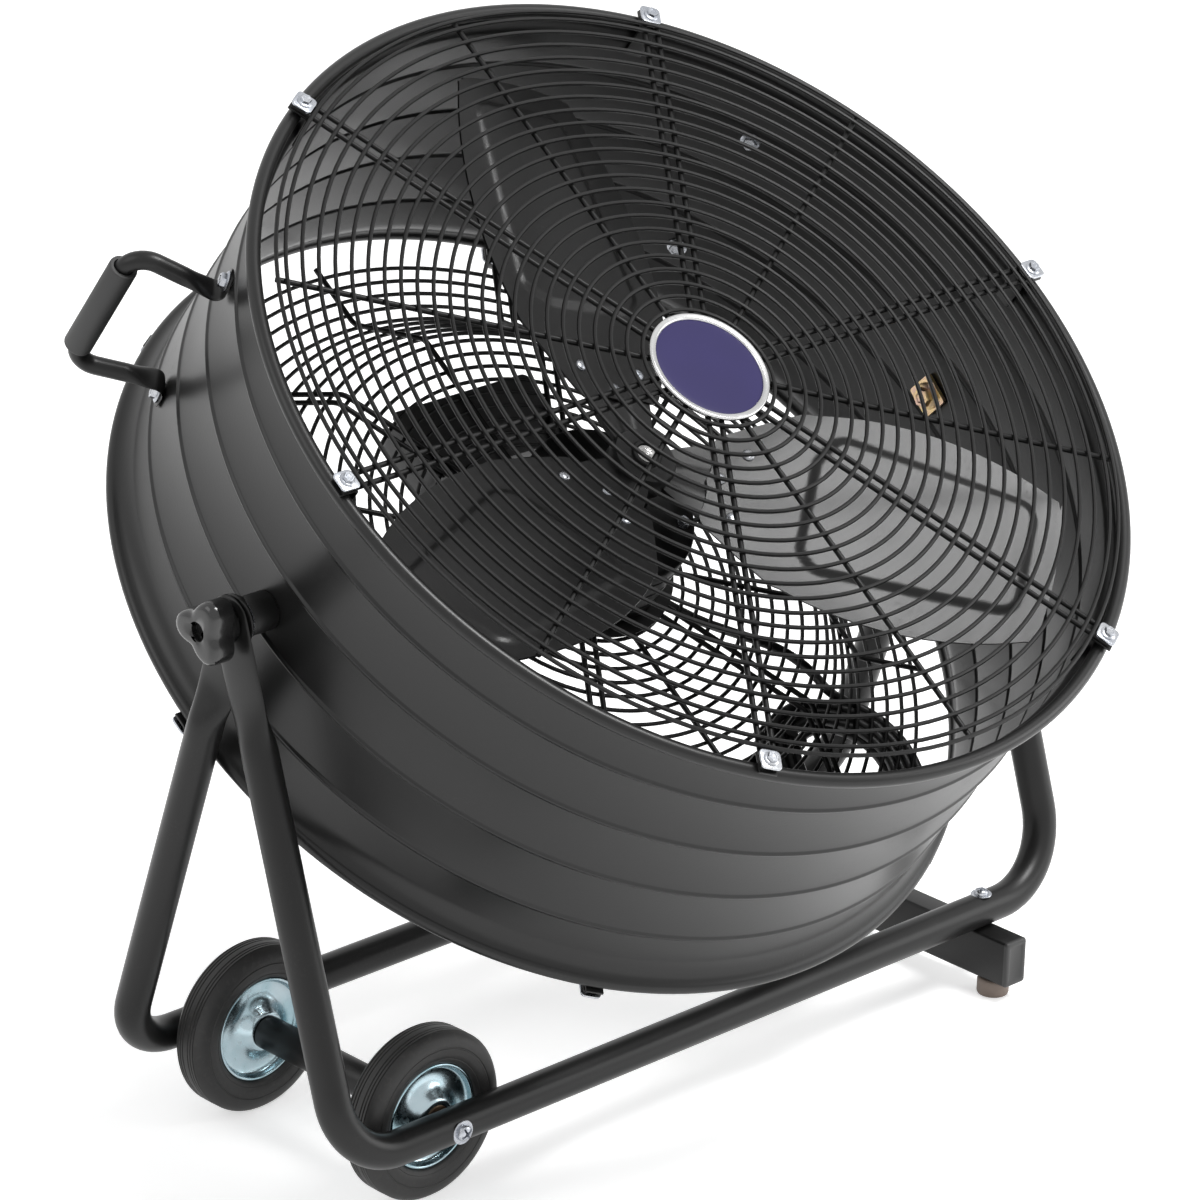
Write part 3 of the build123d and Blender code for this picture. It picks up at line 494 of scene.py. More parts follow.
def pan_screw(origin, normal, radius, x_dir):
    """A domed head on a washer, with a cross-shaped recess."""
    washer = [(0, 0), (1.45, 0), (1.5, 0.06), (1.45, 0.14), (0, 0.14)]
    steps = ((1.0, 0.12), (1.0, 0.4), (0.94, 0.56), (0.8, 0.7), (0.6, 0.79), (0.45, 0.83), (0.3, 0.85))
    recess_reach, recess_half_width, recess_depth = 0.62, 0.08, 0.36
    y_dir = normal.cross(x_dir)
    rows = []
    for share, height in steps + ((0.16, 0.86), (0.0, 0.86)):
        row = []
        for x, y in circle(1.0, 48):
            in_cross = share < recess_reach and abs(x * y) * share < recess_half_width
            lift = height - (recess_depth if in_cross else 0.0)
            row.append(origin + (x_dir * x + y_dir * y) * (radius * share) + normal * (radius * lift))
        rows.append(row)
    return [standing(scaled(washer, radius), origin, normal), grid(rows)]


def dome_rivet(origin, normal, radius, height):
    angles = [radians(turn) for turn in range(6, 91, 12)]
    dome = [(radius * cos(angle), height * (0.12 + 0.88 * sin(angle))) for angle in angles]
    return [standing([(0, 0), (radius, 0)] + dome + [(0, height)], origin, normal)]


# ---- drum ----
def bead(at, outward):
    """Points round a rolled edge, from the outer skin over the bead to the inner skin."""
    return arc((bead_centre, at), bead_radius - 0.0004, -85 * outward, 225 * outward, 24)


def ribbed(inset):
    """The skin's profile from back to front, with its rolled ribs."""
    radius = skin_radius - inset
    points = [(radius, rear_flare_at)]
    for rib_at in rib_places:
        for step in range(-6, 7):
            share = step / 6
            points.append((radius + rib_rise * cos(share * pi / 2) ** 2, rib_at + rib_half_width * share))
    return points + [(radius, front_flare_at)]


def flare(start, at, inset):
    """The skin curving out from start towards the bead at a place."""
    points = []
    for step in range(1, 7):
        share = step / 7
        lift = (bead_centre - skin_radius - 0.001) * share * share
        points.append((skin_radius - inset + lift, start + (at - start) * share * 0.72))
    return points


drum_profile = ribbed(0.0) + flare(front_flare_at, front_bead_at, 0.0) + bead(front_bead_at, 1)
drum_profile += reversed(ribbed(skin_wall) + flare(front_flare_at, front_bead_at, skin_wall))
drum_profile += flare(rear_flare_at, rear_bead_at, skin_wall)
drum_profile += reversed(flare(rear_flare_at, rear_bead_at, 0.0) + bead(rear_bead_at, -1))
make("drum_body", [on_axis(drum_profile, 216)], "drum_paint", "drum", "drum_shell", sharp=50)

# ---- guards ----
spoke_outer = clip_at + clip_size / 2 - 0.002
front_seat = ring_wire + spoke_wire
ring_sunk = 0.0003  # how far the rings are welded into the spokes
free_rings = int((ring_outer - ring_inner) / ring_pitch)
front_radii = [ring_inner + ring_pitch * n for n in range(free_rings + 1)] + [ring_outer]
rear_radii = [rho for rho in front_radii if rho < rear_drop_to - 0.003]


def front_profile(rho):
    return front_spokes_at + front_rise * (1 - rho / spoke_outer)


def rear_seat(rho):
    """Where a rear ring's centre lies: on the spokes, further off where they slope."""
    stretch = cone_stretch if rear_cone_inner < rho < rear_cone_outer else 1.0
    spoke_at = np.interp(rho, (rear_cone_inner, rear_cone_outer), (rear_centre_at, rear_flat_at))
    return spoke_at - front_seat * stretch + ring_sunk


def wire_ring(rho, at):
    """One hoop of round wire. Its section is an eight-sided circle."""
    return on_axis([(rho + x, at + y) for x, y in circle(ring_wire, 8)], 72 if rho < 0.12 else 144)


def guard_spokes(pair, single, radii):
    """Six pairs of spokes through (rho, axial) points, and six single ones between them."""
    wires = []
    for phi in range(0, 360, 30):
        points, asides = (single, (0.0,)) if phi % 60 else (pair, (-pair_gap / 2, pair_gap / 2))
        for aside in asides:
            spots = [on_drum(axial, rho, phi) + around(phi) * aside for rho, axial in points]
            route = bent(spots, radii[len(pair) - len(points) :], 6)
            wires.append(swept(route, around(phi), steady(spoke_wire, spoke_wire), circle(1.0, 10)))
    return wires


front_ends = [(rho, front_profile(rho)) for rho in (spoke_outer, ring_outer, spoke_inner)]
front_wires = guard_spokes(front_ends[::2], front_ends[1:], ())
make("front_guard_wires", front_wires, "wire_paint", "drum", "front_guard_spokes")
front_hoops = [wire_ring(rho, front_profile(rho) + front_seat - ring_sunk) for rho in front_radii]
make("front_guard_hoops", front_hoops, "wire_paint", "drum", "front_guard_rings")

rear_pair = [
    (spoke_outer, rear_spokes_at),
    (rear_drop_from, rear_spokes_at),
    (rear_drop_to, rear_flat_at),
    (rear_cone_outer, rear_flat_at),
    (rear_cone_inner, rear_centre_at),
    (spoke_inner, rear_centre_at),
]
rear_wires = guard_spokes(rear_pair, rear_pair[2:], (0.004, 0.004, 0.012, 0.012))
make("rear_guard_wires", rear_wires, "wire_paint", "drum", "rear_guard_spokes")
cone_run = rear_cone_outer - rear_cone_inner
cone_stretch = hypot(cone_run, rear_flat_at - rear_centre_at) / cone_run
rear_hoops = [wire_ring(rho, rear_seat(rho)) for rho in rear_radii]
make("rear_guard_hoops", rear_hoops, "wire_paint", "drum", "rear_guard_rings")

# folded ears, clamp plates and their screws
ear_sheet = 0.0016
ear_width = 0.013
ear_depth = 0.026
ear_fold = 0.0025
ear_reach = clip_at + clip_size / 2
square = ((-1, -1), (1, -1), (1, 1), (-1, 1))
inner_flat = (skin_radius - skin_wall) * cos(pi / 48)  # the solid drum is many-sided inside
ear_rho = sqrt(inner_flat**2 - (ear_width / 2) ** 2) - fit_gap - ear_sheet / 2
clip_outline = rounded_box(clip_size / 2, clip_size / 2, 0.0032)
for name, bead_at, spokes_at, outward in (
    ("front", front_bead_at, front_spokes_at, 1),
    ("rear", rear_bead_at, rear_spokes_at, -1),
):
    ear_at = bead_at + outward * (bead_radius + fit_gap)
    lip_at = ear_at + outward * ear_sheet / 2
    clip_base = spokes_at + outward * (spoke_wire + 2 * fit_gap)
    ears, plates, screws = [], [], []
    for number in range(6):
        phi = 60 * number
        corners = [(ear_at - outward * ear_depth, ear_rho), (lip_at, ear_rho), (lip_at, ear_reach)]
        fold = bent([on_drum(axial, rho, phi) for axial, rho in corners], (ear_fold,), 6)
        ears.append(swept(fold, around(phi), steady(ear_width / 2, ear_sheet / 2), square))
        plate_y_dir = drum_dir.cross(radial(phi)) * outward
        plate_at = on_drum(clip_base, clip_at, phi)
        plates.append(block(clip_outline, plate_at, radial(phi), plate_y_dir, clip_plate))
        top = on_drum(clip_base + outward * clip_plate, clip_at, phi)
        screws += hex_flange_screw(top, drum_dir * outward, 0.007, radial(phi + 11 * number))
    make(f"{name}_ear_folds", ears, "drum_paint", "drum", f"{name}_ears", bevel=0.0003)
    make(f"{name}_clip_plates", plates, "zinc", "drum", f"{name}_clips", bevel=0.0005)
    make(f"{name}_clip_bolts", screws, "zinc", "drum", f"{name}_clip_screws")

# ---- badge: a bare disc in a bright ring ----
badge_back = front_profile(spoke_inner) + spoke_wire + fit_gap
bezel_profile = mm(badge_back, (40, 0), (43.8, 0)) + arc((0.0434, badge_back + 0.0022), 0.0016, -60, 90, 8)
bezel_profile += mm(badge_back, (40.8, 3.4), (40, 2.8))
make("badge_ring", [on_axis(bezel_profile, 128)], "bezel_silver", "drum", "badge_bezel", sharp=60)
dome = [(39.9 * cos(radians(turn)), 2 + 0.8 * sin(radians(turn))) for turn in range(0, 90, 15)]
face_profile = mm(badge_back, (0, 0), (39.9, 0), *dome, (0, 2.8))
make("badge_face", [on_axis(face_profile, 96)], "badge_blue", "drum", "badge_disc", sharp=50)


# ---- fan ----
def blade_angle(rho):
    return radians(blade_pitch + blade_twist * (rho - pitch_radius) / rim_radius)


def chord_share(rho):
    return 1 - 0.44 * (rho - pitch_radius) / rim_radius


def on_blade(x, y, phi, height):
    """A spot on a blade, x out from the axis and y along its chord, and the normal there."""
    pitch = blade_angle(x)
    middle = on_drum(blade_mid_at + blade_lean * (x - pitch_radius), x, phi)
    chord = around(phi) * cos(pitch) + drum_dir * sin(pitch)
    normal = (drum_dir * cos(pitch) - around(phi) * sin(pitch) - radial(phi) * blade_lean).normalized()
    return middle + chord * (y / cos(pitch)) + normal * height, normal


def fillet(corners, radii, steps=6):
    """A closed outline with each corner rounded to its own radius."""
    outline = []
    spots = [Vector(corner).to_3d() for corner in corners]
    for number, radius in enumerate(radii):
        before, corner, after = spots[number - 1], spots[number], spots[(number + 1) % len(spots)]
        back, ahead = (before - corner).normalized(), (after - corner).normalized()
        reach = 1.01 * radius / tan(back.angle(ahead) / 2)
        short = bent([corner + back * reach, corner, corner + ahead * reach], (radius,), steps)
        outline += [(point.x, point.y) for point in short[1:-1]]
    return outline


def distance_to(outline, x, y):
    """Signed distance from places to a closed outline, negative inside."""
    corners = np.array(outline)
    nearest = np.full(x.shape, np.inf)
    inside = np.zeros(x.shape, bool)
    for start, end in zip(corners, np.roll(corners, -1, axis=0)):
        edge = end - start
        along = ((x - start[0]) * edge[0] + (y - start[1]) * edge[1]) / (edge @ edge)
        along = along.clip(0, 1)
        away = np.hypot(x - start[0] - along * edge[0], y - start[1] - along * edge[1])
        nearest = np.minimum(nearest, away)
        crosses = (start[1] > y) != (end[1] > y)
        with np.errstate(divide="ignore", invalid="ignore"):
            meets = start[0] + (y - start[1]) / edge[1] * edge[0]
        inside ^= crosses & (x < meets)
    return np.where(inside, -nearest, nearest)


def planform(root, root_half, shoulder, tip, rear_inset, front_inset):
    """The flat outline of a blade, or of the panel set into it by the insets."""
    rear_chord, front_chord = 0.0627, 0.067
    near, far = chord_share(shoulder), chord_share(tip)
    flatten = cos(blade_angle(pitch_radius))
    return [
        (root, -root_half),
        (shoulder, (rear_inset - rear_chord * near) * flatten),
        (tip, (rear_inset - rear_chord * far) * flatten),
        (tip, (front_chord * far - front_inset) * flatten),
        (shoulder, (front_chord * near - front_inset) * flatten),
        (root, root_half),
    ]


def sheet_over(outline, phi, tip, rises, thick, base_lift=0.0, rows=110, columns=64):
    """A twisted sheet cut to an outline and a tip radius. rises gives its height over (x, y)."""
    edge = np.array(outline)
    radius = np.hypot(edge[:, 0], edge[:, 1]).clip(0, tip)
    angle = np.arctan2(edge[:, 1], edge[:, 0])
    root = edge[:, 0].min()
    closer_at_ends = 0.5 - 0.5 * np.cos(np.linspace(0.0, pi, rows))
    radii = root + (tip - root) * (0.5 * closer_at_ends + 0.5 * np.linspace(0, 1, rows))
    limits = []
    for side in (-1, 1):
        mine = np.flatnonzero(angle * side > 0)
        order = mine[np.argsort(radius[mine], kind="stable")]
        known_radius = np.concatenate([[root], radius[order], [tip]])
        known_angle = np.concatenate([[0.0], angle[order], [angle[order[-1]]]])
        limits.append(np.interp(radii, known_radius, known_angle)[:, None])
    turn = limits[0] + (limits[1] - limits[0]) * np.linspace(0, 1, columns)[None, :]
    x, y = radii[:, None] * np.cos(turn), radii[:, None] * np.sin(turn)
    height = rises(x, y)
    wrapped = []
    for row in range(rows):
        upper, lower = [], []
        for column in range(columns):
            spot, normal = on_blade(x[row, column], y[row, column], phi, base_lift + height[row, column])
            upper.append(spot + normal * (thick / 2))
            lower.append(spot - normal * (thick / 2))
        wrapped.append(upper + lower[::-1])
    return capped(wrapped)


def pressed(outline, rise, width):
    """A panel pressed out of a sheet by rise, with a round step of a given width."""
    return lambda x, y: rise * smooth(0.5 - distance_to(outline, x, y) / width)


blade_outline = fillet(
    planform(0.046, 0.034, 0.104, 0.298, 0.001, 0.001), (0.010, 0.016, 0.014, 0.014, 0.016, 0.010)
)
panel_outline = fillet(
    planform(0.118, 0.036, 0.130, 0.274, 0.020, 0.012), (0.012, 0.012, 0.014, 0.014, 0.012, 0.012)
)
arm_corners = [(0.014, -0.014), (0.094, -0.030), (0.094, 0.030), (0.014, 0.014)]
arm_outline = fillet(arm_corners, (0.002, 0.009, 0.009, 0.002))
arm_panel_corners = [(0.020, -0.005), (0.064, -0.011), (0.064, 0.011), (0.020, 0.005)]
arm_panel = fillet(arm_panel_corners, (0.004, 0.006, 0.006, 0.004))
blade_rise = pressed(panel_outline, emboss_rise, 0.005)
arm_rise = pressed(arm_panel, -0.0012, 0.004)
arm_sheet = 0.004
arm_tip = 0.0985
arm_lift = -(blade_sheet + arm_sheet) / 2 - fit_gap

arms, rivets = [], []
for number in range(blade_count):
    phi = blade_first + 360 / blade_count * number
    blade = sheet_over(blade_outline, phi, blade_tip, blade_rise, blade_sheet)
    make(f"blade_panel_{number + 1}", [blade], "blade_paint", "fan", f"blade_{number + 1}", sharp=50)
    arms.append(sheet_over(arm_outline, phi, arm_tip, arm_rise, arm_sheet, arm_lift, 40, 24))
    for rho, off in ((0.055, 3.0), (0.073, -20.0), (0.076, 21.0)):
        spot, normal = on_blade(rho * cos(radians(off)), rho * sin(radians(off)), phi, blade_sheet / 2)
        rivets += dome_rivet(spot, normal, 0.0045, 0.0021)
make("fan_rivets", rivets, "zinc", "fan", "blade_rivets")

hub_profile = mm(0.0, (8.2, 28), (22, 28), (24, 30), (24, 44.5), (22.5, 47), (12.5, 47))
hub_profile += mm(0.0, (11, 47.5), (11, 49.2), (10.2, 50), (8.2, 50))
make("fan_hub", [on_axis(hub_profile, 72)] + arms, "hub_paint", "fan", "fan_spider", sharp=45)
shaft_profile = mm(0.0, (0, 1.8), (8, 1.8), (8, 48.2), (7.2, 49), (2.5, 49), (0, 47.5))
make("fan_shaft_end", [on_axis(shaft_profile, 48)], "shaft_steel", "fan", "fan_shaft")

# ---- motor ----
plate_back = rear_centre_at + spoke_wire + fit_gap
motor_back = plate_back + 0.002 + fit_gap
motor_front = motor_back + 0.056
bell_front = motor_front + 0.012
plate_profile = mm(plate_back, (0, 0), (73.5, 0), (74, 0.5), (74, 1.5), (73.5, 2), (0, 2))
make("motor_mount_plate", [on_axis(plate_profile, 96)], "motor_paint", "drum", "motor_plate")
motor_profile = mm(motor_back, (0, 0), (60, 0), (63.2, 1), (64, 3))
for seam in (14, 28, 42):
    motor_profile += mm(motor_back, (64, seam - 1.2), (63.2, seam - 0.6))
    motor_profile += mm(motor_back, (63.2, seam + 0.6), (64, seam + 1.2))
motor_profile += mm(motor_front, (64, -4))
motor_profile += arc((0.058, motor_front - 0.004), 0.006, 0, 60, 6)
motor_profile += mm(bell_front, (52, -6.5), (44, -2), (38, 0), (21.5, 0), (20, 1), (20, 7))
motor_profile += mm(bell_front, (19, 8), (9.5, 8), (9.5, 5), (0, 5))
bell_bolts = []
for phi in (45, 135, 225, 315):
    bell_bolts += hex_flange_screw(on_drum(bell_front - 0.0045, 0.050, phi), drum_dir, 0.007, radial(0))
make("motor_casing", [on_axis(motor_profile, 120)], "motor_paint", "drum", "motor_housing", sharp=32)
make("motor_bolts", bell_bolts, "zinc", "drum")

# ---- switch box and its knob ----
box_u = 0.118
box_half_x = 0.065
box_half_u = 0.030
box_back = rear_centre_at - spoke_wire - 0.0027
base_thick = 0.002
cover_back = box_back - base_thick - fit_gap
cover_face = cover_back - 0.032
cover_wall = 0.002
knob_x = box_half_x / 2


def on_box(x, u, axial):
    return across_drum(x, box_u + u, axial)


def fluted(radius):
    """The speed knob's outline, with twelve flutes on its narrow part alone."""
    depth = 0.0005 if 0.0115 < radius < 0.0125 else 0.0
    return waved(lambda angle: radius - depth * max(0.0, cos(12 * angle)), 96)


base_outline = [(y, x) for x, y in rounded_box(box_half_x, box_half_u, 0.006)][::-1]
base_plate = block(base_outline, on_box(0, 0, box_back), up_dir, side_dir, -base_thick)
make("switch_base", [base_plate], "box_plastic", "drum", "switch_box_base", bevel=0.0005)

cover = stacked(
    lambda inset: rounded_box(box_half_x - cover_wall - inset, box_half_u - cover_wall - inset, 0.007),
    mm(0.0, (0.2, 0), (0, 1), (1.2, 26), (2, 29.5), (4, 31.4), (6.5, 32)),
    on_box(0, 0, cover_back), side_dir, up_dir, drum_dir * -1,
)
make("switch_cover", [capped(cover)], "box_plastic", "drum", "switch_box_cover", sharp=30)
slat = rounded_box(0.021, 0.0014, 0.0013, 4)
slats = []
for number in range(-2, 3):
    slats.append(block(slat, on_box(-knob_x, number * 0.0086, cover_face - 0.0004), side_dir, up_dir, 0.0012))
make("switch_louvres", slats, "cap_plastic", "drum")

knob_steps = mm(0.0, (15, 0.3), (15, 3.5), (14, 4.4), (12.2, 4.8), (11.8, 11.5), (10.8, 12.6), (9, 13))
knob_steps += [(0.0, 0.013)]
knob_rows = stacked(fluted, knob_steps, on_box(knob_x, 0, cover_face), side_dir, up_dir, drum_dir * -1)
pointer_at = on_box(knob_x, 0.0072, cover_face - 0.0128)
pointer = block(rounded_box(0.0012, 0.0042, 0.001, 4), pointer_at, side_dir, up_dir, -0.0005)
make("switch_knob", [grid(knob_rows), pointer], "knob_gloss", "speed_knob", "speed_knob", sharp=30)

# ---- mains cord: out of the switch box, over the rear guard, coiled and tied behind it ----
cord_radius = 0.0035
gland_at = cover_back - 0.016
gland_x = 0.015
gland_start = box_u - box_half_u + 0.002
gland_length = 0.024
coil_x, coil_u = 0.152, -0.198
coil_middle = 0.050
turn_pitch = 0.0072
columns = 4
coil_start = 50.0  # degrees from the tilt axis, where the lead joins the outermost turn
coil_first_at = rear_flat_at - front_seat - ring_wire - 0.0048
points_per_turn = 24
# each turn's layer and column, and where in the turn, in degrees, it moves over to the next one's
turns = [(0, 3, 300), (0, 2, 300), (0, 1, 300), (0, 0, 250), (1, 0, 200), (1, 1, 200), (1, 2, 200)]
turns += [(1, 3, 150), (2, 3, 0)]
places_in_turns = [turn[:2] for turn in turns]
shift_span = 50.0
last_turn_end = 130.0

# the lead over the guard, in millimetres
over_guard = (
    (16.5, 28, -85), (21, 7, -78), (29, -16, -75), (40, -38, -74.7), (53, -58, -74.7), (68, -76, -74.7),
    (86, -91, -75), (105, -104, -76.5), (122, -115, -80.5), (139, -126, -89), (154, -134, -100.5),
    (167, -140, -113), (179, -144.5, -122),
)
lead_route = [(gland_x, 0.066, gland_at), (gland_x, 0.048, gland_at)] + (np.array(over_guard) / 1000).tolist()


def coil_place(along):
    """A place on the winding, along degrees from its start."""
    layer, column = places_in_turns[0]
    for number, (layers, columns_on) in enumerate(np.diff(places_in_turns, axis=0)):
        share = smooth((along - 360 * number - turns[number][2]) / shift_span)
        layer, column = layer + layers * share, column + columns_on * share
    angle = radians(coil_start - along)
    reach = coil_middle + (column - (columns - 1) / 2) * turn_pitch
    return (coil_x + reach * cos(angle), coil_u + reach * sin(angle), coil_first_at - layer * turn_pitch)


winding = 360 * (len(turns) - 1) + last_turn_end
coil_route = [coil_place(360 / points_per_turn * n) for n in range(int(winding * points_per_turn / 360) + 1)]
coil_route.append(coil_place(winding))
leave = radians(coil_start - winding)
tail_x, tail_u = sin(leave), -cos(leave)
tail_start = coil_route[-1]
plug_at = rear_flat_at - front_seat - ring_wire - 0.0105


def tail(along, axial):
    return (tail_start[0] + tail_x * along, tail_start[1] + tail_u * along, axial)


tail_ends = ((0.014, tail_start[2]), (0.028, tail_start[2] + 0.0008), (0.042, tail_start[2] + 0.005))
tail_ends += ((0.056, plug_at - 0.0004), (0.072, plug_at))
tail_route = [tail(*end) for end in tail_ends]
cord_curve = bpy.data.curves.new("mains_cord", "CURVE")
cord_curve.dimensions = "3D"
cord_curve.bevel_depth = cord_radius
cord_curve.bevel_resolution = 4
cord_curve.resolution_u = 6
cord_curve.use_fill_caps = True
route = lead_route + coil_route + tail_route
spline = cord_curve.splines.new("NURBS")
spline.points.add(len(route) - 1)
for point, place in zip(spline.points, route):
    point.co = (*across_drum(*place), 1.0)
spline.order_u = 3
spline.use_endpoint_u = True
cord_curve.materials.append(finishes["cord_jacket"])
cord_piece = added("mains_cord", cord_curve)
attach(cord_piece, "drum")


def relief(start, direction, across, length, wide, narrow):
    """A tapered sleeve round the cord with grooves cut across it."""
    bore = cord_radius + 0.0002
    profile = [(bore, 0.0), (wide, 0.0)]
    for number in range(5):
        share = (number + 0.6) / 5.4
        at, outer = length * share, wide + (narrow - wide) * share
        profile += [(outer, at - 0.0010), (outer - 0.0011, at - 0.0006), (outer - 0.0011, at + 0.0006)]
        profile += [(outer - 0.0001, at + 0.0010)]
    return turned(profile + [(narrow, length), (bore, length)], start, direction, across, 40)


gland_place = across_drum(gland_x, gland_start - 0.0001, gland_at)
gland = relief(gland_place, up_dir * -1, side_dir, gland_length, 0.0062, 0.0048)
make("cord_gland", [gland], "cap_plastic", "drum", sharp=40)

plug_dir = (side_dir * tail_x + up_dir * tail_u).normalized()
plug_side = plug_dir.cross(drum_dir)
relief_across = side_dir if abs(plug_dir.x) < 0.5 else up_dir
relief_start = across_drum(*tail(0.062, plug_at))
plug_relief = relief(relief_start + plug_dir * 0.024, plug_dir * -1, relief_across, 0.024, 0.0070, 0.0048)
plug_start = relief_start + plug_dir * 0.0235
plug_rows = stacked(
    lambda inset: rounded_box(0.013 - inset, 0.010 - inset, 0.0045),
    mm(0.0, (5, 0), (3, 1.2), (1.2, 6), (0.2, 14), (0, 20), (0, 31.5), (1, 32.5)),
    plug_start, plug_side, drum_dir, plug_dir,
)
plug = make("cord_plug", [plug_relief, capped(plug_rows)], "cord_jacket", "drum", sharp=40)
pin_start = plug_start + plug_dir * 0.0324
flat_pin = [(0.0032 * x, 0.00075 * y) for x, y in square]
round_pin = mm(0.0, (0, 0), (2.4, 0), (2.4, 16), (1.6, 18.5), (0, 19))
pins = []
for side in (-1, 1):
    origin = pin_start + plug_side * (side * 0.00635) + drum_dir * 0.002
    pins.append(block(flat_pin, origin, drum_dir, plug_side, 0.0165))
pins.append(turned(round_pin, pin_start - drum_dir * 0.005, plug_dir, plug_side, 24))
plug_pins = make("plug_pins", pins, "shaft_steel", "drum", bevel=0.0002)


def tie(centre, phi, half_out, from_at, to_at):
    """A flat strap round a bundle, with its lock at the outer side and its cut end."""
    out = radial(phi)
    across = out.cross(drum_dir)
    half_axial = (from_at - to_at) / 2
    middle = centre + drum_dir * ((from_at + to_at) / 2)
    strap = stacked(
        lambda lift: rounded_box(half_out + lift, half_axial + lift, 0.0024 + lift, 5),
        mm(0.0, (0, -2.3), (1.1, -2.3), (1.1, 2.3), (0, 2.3)),
        middle, out, drum_dir, across,
    )
    lock_at = middle + out * (half_out + 0.0013) - across * 0.0035
    lock = block(rounded_box(0.0021, 0.0031, 0.0008, 3), lock_at, out, drum_dir, -0.0070)
    end_at = lock_at + across * 0.0052 - drum_dir * 0.0058
    end = block(rounded_box(0.0011, 0.0055, 0.0005, 3), end_at, out, drum_dir, 0.0044)
    return [grid(strap, True), lock, end]


bundle_ease = cord_radius + 0.0004
bundle_half = (columns - 1) / 2 * turn_pitch + bundle_ease
bundle_back = coil_first_at - 2 * turn_pitch - bundle_ease
ring_front = rear_flat_at - front_seat + ring_wire + 0.0006
coil_phi = degrees(np.arctan2(coil_u, coil_x))
ties = []
for phi, front in ((coil_phi, ring_front), (coil_phi + 180, coil_first_at + bundle_ease)):
    middle_of_turns = across_drum(coil_x, coil_u, 0.0) + radial(phi) * coil_middle
    ties += tie(middle_of_turns, phi, bundle_half, front, bundle_back)
hold = tail(0.070, 0.0)
hold_phi = degrees(np.arctan2(hold[1], hold[0]))
ties += tie(across_drum(*hold), hold_phi, 0.0062, ring_front, plug_at - 0.0068)
tie_straps = make("cable_ties", ties, "cap_plastic", "drum", sharp=40)
across_drum(*lead_route[0])

# ---- pivots ----
spacer_end = 0.3402
knob_start = 0.35115
knob_base = knob_start + 0.007
stud_start = 0.3147
stud_end = knob_start + 0.006
backing_at = 0.3117
thread_pitch = 0.0015
turns_in_thread = int((stud_end - stud_start) / thread_pitch)


def lobed(inset):
    """The hand knob's outline: three round lobes."""
    return waved(lambda angle: 0.0195 + 0.0045 * cos(3 * angle) - inset, 144)


knob_boss = mm(knob_start, (5.2, 0), (13, 0), (14, 1), (14, 7.2), (5.2, 7.2))
lobe_steps = mm(knob_base, (6, 0), (1.8, 0), (0.5, 0.6), (0, 2), (0, 12.5), (0.4, 15), (1.5, 17.1))
lobe_steps += mm(knob_base, (3.4, 18.5), (6, 19), (10.5, 19))
hole_steps = mm(knob_base, (7.2, 19), (6.6, 18.4), (6, 17.4), (6, 13), (0, 13))
thread = [(0, stud_start - 0.003), (0.0049, stud_start - 0.003)]
for turn in range(turns_in_thread):
    start = stud_start + turn * thread_pitch
    thread += [(0.0045, start + thread_pitch * 0.25), (0.0050, start + thread_pitch * 0.75)]
thread += [(0.0045, stud_end), (0, stud_end)]
spacer = collar(0.0052, 0.0135, skin_radius, spacer_end, 0.0007, 0.0008)
washer = mm(0.3405, (5.4, 0), (15.7, 0), (16, 0.3), (16, 1.2), (15.7, 1.4), (5.4, 1.4))
backing = [(0.7071 * (x - y), 0.7071 * (x + y)) for x, y in rounded_box(0.012, 0.012, 0.002)]

studs, spacers, washers = [], [], []
for side, name in ((-1, "left"), (1, "right")):
    outward = side_dir * side
    knob_axes = (pivot, back_dir, high_dir * side, outward)
    knob = stacked(lobed, lobe_steps, *knob_axes)
    knob += stacked(lambda radius: circle(radius, 144), hole_steps, *knob_axes)
    boss = turned(knob_boss, pivot, outward, back_dir, 72)
    make(f"{name}_hand_knob", [boss, grid(knob)], "knob_gloss", f"{name}_knob", f"{name}_knob", sharp=50)
    backing_place = pivot + outward * backing_at
    studs.append(turned(thread, pivot, outward, back_dir, 32))
    studs.append(block(backing, backing_place, back_dir, high_dir * side, 0.0028))
    studs += hex_flange_screw(backing_place, outward * -1, 0.013, back_dir)
    spacers.append(turned(spacer, pivot, outward, back_dir, 64))
    washers.append(turned(washer, pivot, outward, back_dir, 72))
make("pivot_stud_plates", studs, "yellow_zinc", "drum", "pivot_studs")
make("pivot_spacer_sleeves", spacers, "motor_paint", "drum", "pivot_spacers", sharp=50)
make("pivot_flat_washers", washers, "zinc", "stand", "pivot_washers", sharp=50)

# ---- handles ----
handle_phi = 140.5
handle_at = 0.012
handle_reach = 0.386
grip_half = 0.058
foot_half = 0.048
bar_radius = 0.0065
strap_half_width = 0.010
strap_half_thick = 0.00125
strap_length = 0.0195
strap_rho = skin_radius + 0.0002 + strap_half_thick
handle_bolt = 0.0095
inner_seat = skin_radius * cos(radians(1)) - skin_wall - 0.0002


def bar_size(along, length):
    """Half sizes of the bent bar: round, but pressed flat where it lies on the drum."""
    near = min(along, length - along)
    share = smooth((near - 0.024) / 0.022)
    corner = min(1.0, max(0.0, near / 0.006))
    width = strap_half_width * (0.62 + 0.38 * sqrt(corner * (2 - corner)))
    return (width + (bar_radius - width) * share, strap_half_thick + (bar_radius - strap_half_thick) * share)


